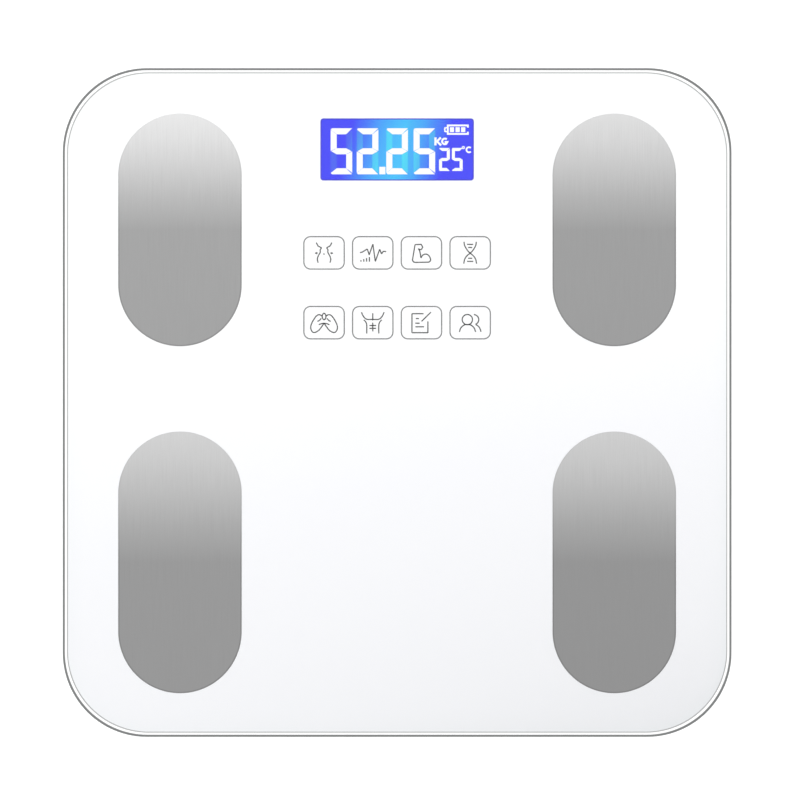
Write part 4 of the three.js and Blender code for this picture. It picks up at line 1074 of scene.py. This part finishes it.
def build_rubber(corner, centre, rubber):
    """Foot pad with two moulded grooves and a rounded edge."""
    node = "foot_rubber_" + corner
    low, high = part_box(node)
    bottom, top = low[2], high[2]
    radius = (high[0] - low[0]) / 2
    depth, mouth, root = 0.6 * MM, 0.8 * MM, 0.5 * MM  # of a groove; mouth and root are half widths
    edge = 1.2 * MM
    edge_steps = 5
    profile = [(0.0, bottom)]
    for middle in (radius * 0.42, radius * 0.68):
        profile += [(middle - mouth, bottom), (middle - root, bottom + depth)]
        profile += [(middle + root, bottom + depth), (middle + mouth, bottom)]
    for i in range(edge_steps + 1):
        angle = i / edge_steps * math.pi / 2
        profile.append((radius - edge * (1 - math.sin(angle)), bottom + edge * (1 - math.cos(angle))))
    profile += [(radius, top), (0.0, top)]
    bm = bmesh.new()
    turned(bm, profile, centre)
    finish_piece("foot_pad_" + corner, bm, [rubber], (node,), "foot_" + corner)


def build_screw(node, name, steel, up=True):
    """Pan-head screw with a cross recess and a ridged shank, at its CAD node's place."""
    low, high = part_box(node)
    centre = middle_of(node)
    head_radius = (high[0] - low[0]) / 2
    length = high[2] - low[2]
    head = 1.1 * MM
    flat = 0.55  # share of the head's radius that is flat
    shank = 1.0 * MM
    core = 0.8 * shank
    turns = 8
    pitch = (length - head - shank) / turns

    def z(distance):
        return low[2] + distance if up else high[2] - distance

    profile = [(0.0, z(0)), (head_radius * flat, z(0))]
    for i in range(1, 5):
        angle = i * math.pi / 8
        radius = head_radius * (flat + (1 - flat) * math.sin(angle))
        profile.append((radius, z(head * 0.5 * (1 - math.cos(angle)))))
    profile += [(head_radius, z(head)), (core, z(head))]
    for i in range(turns):
        start = head + pitch * (i + 0.2)
        profile += [(core, z(start)), (shank, z(start + pitch * 0.4)), (core, z(start + pitch * 0.7))]
    profile.append((0.0, z(length)))
    bm = bmesh.new()
    turned(bm, profile, centre, steps=32)
    screw = finish_piece(name, bm, [steel], (node,))
    clearance, recess = 0.5 * MM, 0.6 * MM
    cut_cross(screw, centre, head_radius * 0.62, *sorted((z(-clearance), z(recess))))


def cut_cross(screw, centre, reach, low, high):
    """Cross recess: one quarter of its outline, turned four times."""
    half = 0.175 * MM
    arm = [(reach, -half), (reach, half), (half, half)]
    plus = []
    for _ in range(4):
        plus += [(centre[0] + x, centre[1] + y) for x, y in arm]
        arm = [(-y, x) for x, y in arm]
    bm = bmesh.new()
    prism(bm, plus, low, high)
    cut_away(screw, bm)


def build_feet():
    plastic = moulded("foot_plastic", (0.42, 0.43, 0.43), 0.55)
    rubber = rubbery("foot_rubber", (0.055, 0.055, 0.058))
    steel = bare_metal("screw_steel", (0.62, 0.61, 0.58), 0.28, mark=0.3 * MM)
    for corner in CORNERS:
        build_foot(corner, plastic, rubber, steel)
    for side in ("left", "right"):
        build_screw("pcb_screw_" + side, "board_screw_" + side, steel, up=False)


# ---- inside

def paint(node, material):
    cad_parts[node].material_slots[0].material = material


def build_strain_gauges():
    """White sealing compound over the gauge on each load cell's tongue."""
    sealant = rubbery("gauge_sealant", (0.8, 0.8, 0.76), 0.5)
    width, depth, height, corner_radius = 9 * MM, 6 * MM, 0.5 * MM, 1.5 * MM
    for corner in CORNERS:
        node = "load_cell_" + corner
        bm = bmesh.new()
        patch(bm, *middle_of(node), width, depth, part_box(node)[1][2], height, corner_radius)
        finish_piece("strain_gauge_" + corner, bm, [sealant])


def build_board_parts():
    """Rows of small resistors and capacitors beside the controller, on the board's lower face."""
    low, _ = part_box("main_pcb")
    chip_low, chip_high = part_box("controller_chip")
    ceramic = moulded("ceramic_part", (0.42, 0.33, 0.22), 0.5, grain=0.2 * MM)
    solder = bare_metal("solder", (0.62, 0.62, 0.6), 0.3, mark=0.3 * MM)
    count = 6
    clearance = 2.5 * MM  # chip to the middle of each row
    width, length, drop = 0.8 * MM, 1.1 * MM, -0.6 * MM
    end_width, end_length, end_reach = 0.84 * MM, 0.4 * MM, 0.75 * MM
    bodies, ends = bmesh.new(), bmesh.new()
    for i in range(count):
        x = chip_low[0] + (i + 0.5) * (chip_high[0] - chip_low[0]) / count
        for y in (chip_low[1] - clearance, chip_high[1] + clearance):
            patch(bodies, x, y, width, length, low[2], drop)
            for side in (1, -1):
                patch(ends, x, y + side * end_reach, end_width, end_length, low[2], drop, 0.1 * MM)
    finish_piece("board_parts", bodies, [ceramic])
    finish_piece("board_solder", ends, [solder])


def paint_inside():
    spring_steel = bare_metal("spring_steel", (0.46, 0.47, 0.48), 0.38, stretch=(1, 0.1, 1))
    nickel = bare_metal("nickel", (0.66, 0.64, 0.6), 0.25, mark=0.4 * MM)
    wires = {
        "load_cell_lead_": moulded("grey_insulation", (0.33, 0.33, 0.35), 0.45, grain=0.6 * MM),
        "electrode_lead_": moulded("white_insulation", (0.78, 0.78, 0.76), 0.45, grain=0.6 * MM),
    }
    for corner in CORNERS:
        paint("load_cell_" + corner, spring_steel)
        for prefix, material in wires.items():
            paint(prefix + corner, material)
    single = {
        "battery_rear": battery_sleeve("battery_rear", 1),
        "battery_front": battery_sleeve("battery_front", -1),
        "negative_spring": nickel,
        "positive_contact": nickel,
        "link_contact": nickel,
        "battery_lead_red": moulded("red_insulation", (0.5, 0.03, 0.025), 0.4, grain=0.6 * MM),
        "battery_lead_black": moulded("black_insulation", (0.02, 0.02, 0.02), 0.4, grain=0.6 * MM),
        "main_pcb": circuit_board(),
        "controller_chip": moulded("chip_epoxy", (0.02, 0.02, 0.022), 0.45, grain=0.15 * MM),
        "lcd_bezel": moulded("bezel_plastic", (0.75, 0.75, 0.75), 0.5),
        "backlight_panel": moulded("light_guide", (0.85, 0.88, 0.95), 0.2, grain=1.5 * MM),
        "zebra_connector": striped_silicone(),
        "tact_switch": bare_metal("switch_can", (0.6, 0.6, 0.61), 0.3),
        "switch_plunger": moulded("plunger_plastic", (0.03, 0.03, 0.032), 0.4),
        "unit_button": rubbery("button_rubber", (0.10, 0.105, 0.11), 0.6),
    }
    for node, material in single.items():
        paint(node, material)


# ---- stage

def build_floor():
    mesh = bpy.data.meshes.new("floor")
    half = 40.0
    corners = [(-half, -half, 0), (half, -half, 0), (half, half, 0), (-half, half, 0)]
    mesh.from_pydata(corners, [], [(0, 1, 2, 3)])
    look = Look("pale_floor", Roughness=0.7)
    cloud = look.noise(0.5, detail=2)
    look.set("Base_Color", look.ramp(cloud, ((0.3, (0.88, 0.88, 0.88)), (0.7, (0.90, 0.90, 0.90)))))
    look.set("Emission_Color", (1.0, 1.0, 1.0))
    look.set("Emission_Strength", 0.28)
    mesh.materials.append(look.material)
    added("floor", mesh)


def soft_box(name, place, size, power):
    data = bpy.data.lights.new(name, "AREA")
    data.shape = "RECTANGLE"
    data.size, data.size_y = size
    data.energy = power
    lamp = added(name, data)
    lamp.location = place
    lamp.rotation_euler = Vector(place).to_track_quat("Z", "Y").to_euler()
    # The glass mirrors the even studio, not the lamp's hard outline.
    lamp.visible_glossy = False


def build_light():
    world = bpy.data.worlds.new("studio")
    world.use_nodes = True
    nodes, links = world.node_tree.nodes, world.node_tree.links
    place = nodes.new("ShaderNodeTexCoord")
    split = nodes.new("ShaderNodeSeparateXYZ")
    ramp = nodes.new("ShaderNodeValToRGB")
    # White where it meets the floor, dimmer walls above and a bright ceiling
    levels = ((0.02, (0.95, 0.95, 0.95)), (0.06, (0.5, 0.51, 0.53)), (0.8, (1.0, 1.0, 1.0)))
    stops = ramp.color_ramp.elements
    stops.new(0.5)
    for stop, (height, colour) in zip(stops, levels):
        stop.position = height
        stop.color = (*colour, 1)
    links.new(place.outputs["Generated"], split.inputs[0])
    links.new(split.outputs["Z"], ramp.inputs["Fac"])
    links.new(ramp.outputs["Color"], nodes["Background"].inputs["Color"])
    nodes["Background"].inputs["Strength"].default_value = 1.13
    bpy.context.scene.world = world
    soft_box("key_light", (-1.1, 1.5, 1.6), (1.4, 1.4), 16)
    soft_box("fill_light", (1.4, -1.0, 1.2), (1.2, 1.2), 5)


def build_camera():
    width = plan("glass_platform")[1]
    data = bpy.data.cameras.new("camera")
    distance = CAMERA_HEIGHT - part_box("glass_platform")[1][2]
    data.lens = data.sensor_width * GLASS_SHARE * distance / width
    data.clip_end = 20
    camera = added("camera", data)
    picture = width / GLASS_SHARE
    camera.location = (-CENTRE_SHIFT[0] * picture, -CENTRE_SHIFT[1] * picture, CAMERA_HEIGHT)
    bpy.context.scene.camera = camera
    bpy.context.scene.view_settings.view_transform = "Standard"


def build_scale():
    build_glass()
    build_film()
    build_icons()
    build_display()
    for corner, stud_centre in stud_centres().items():
        build_electrode(corner, stud_centre)
    build_tray()
    build_feet()
    build_strain_gauges()
    build_board_parts()
    paint_inside()


build_camera()
build_light()
build_floor()
build_scale()
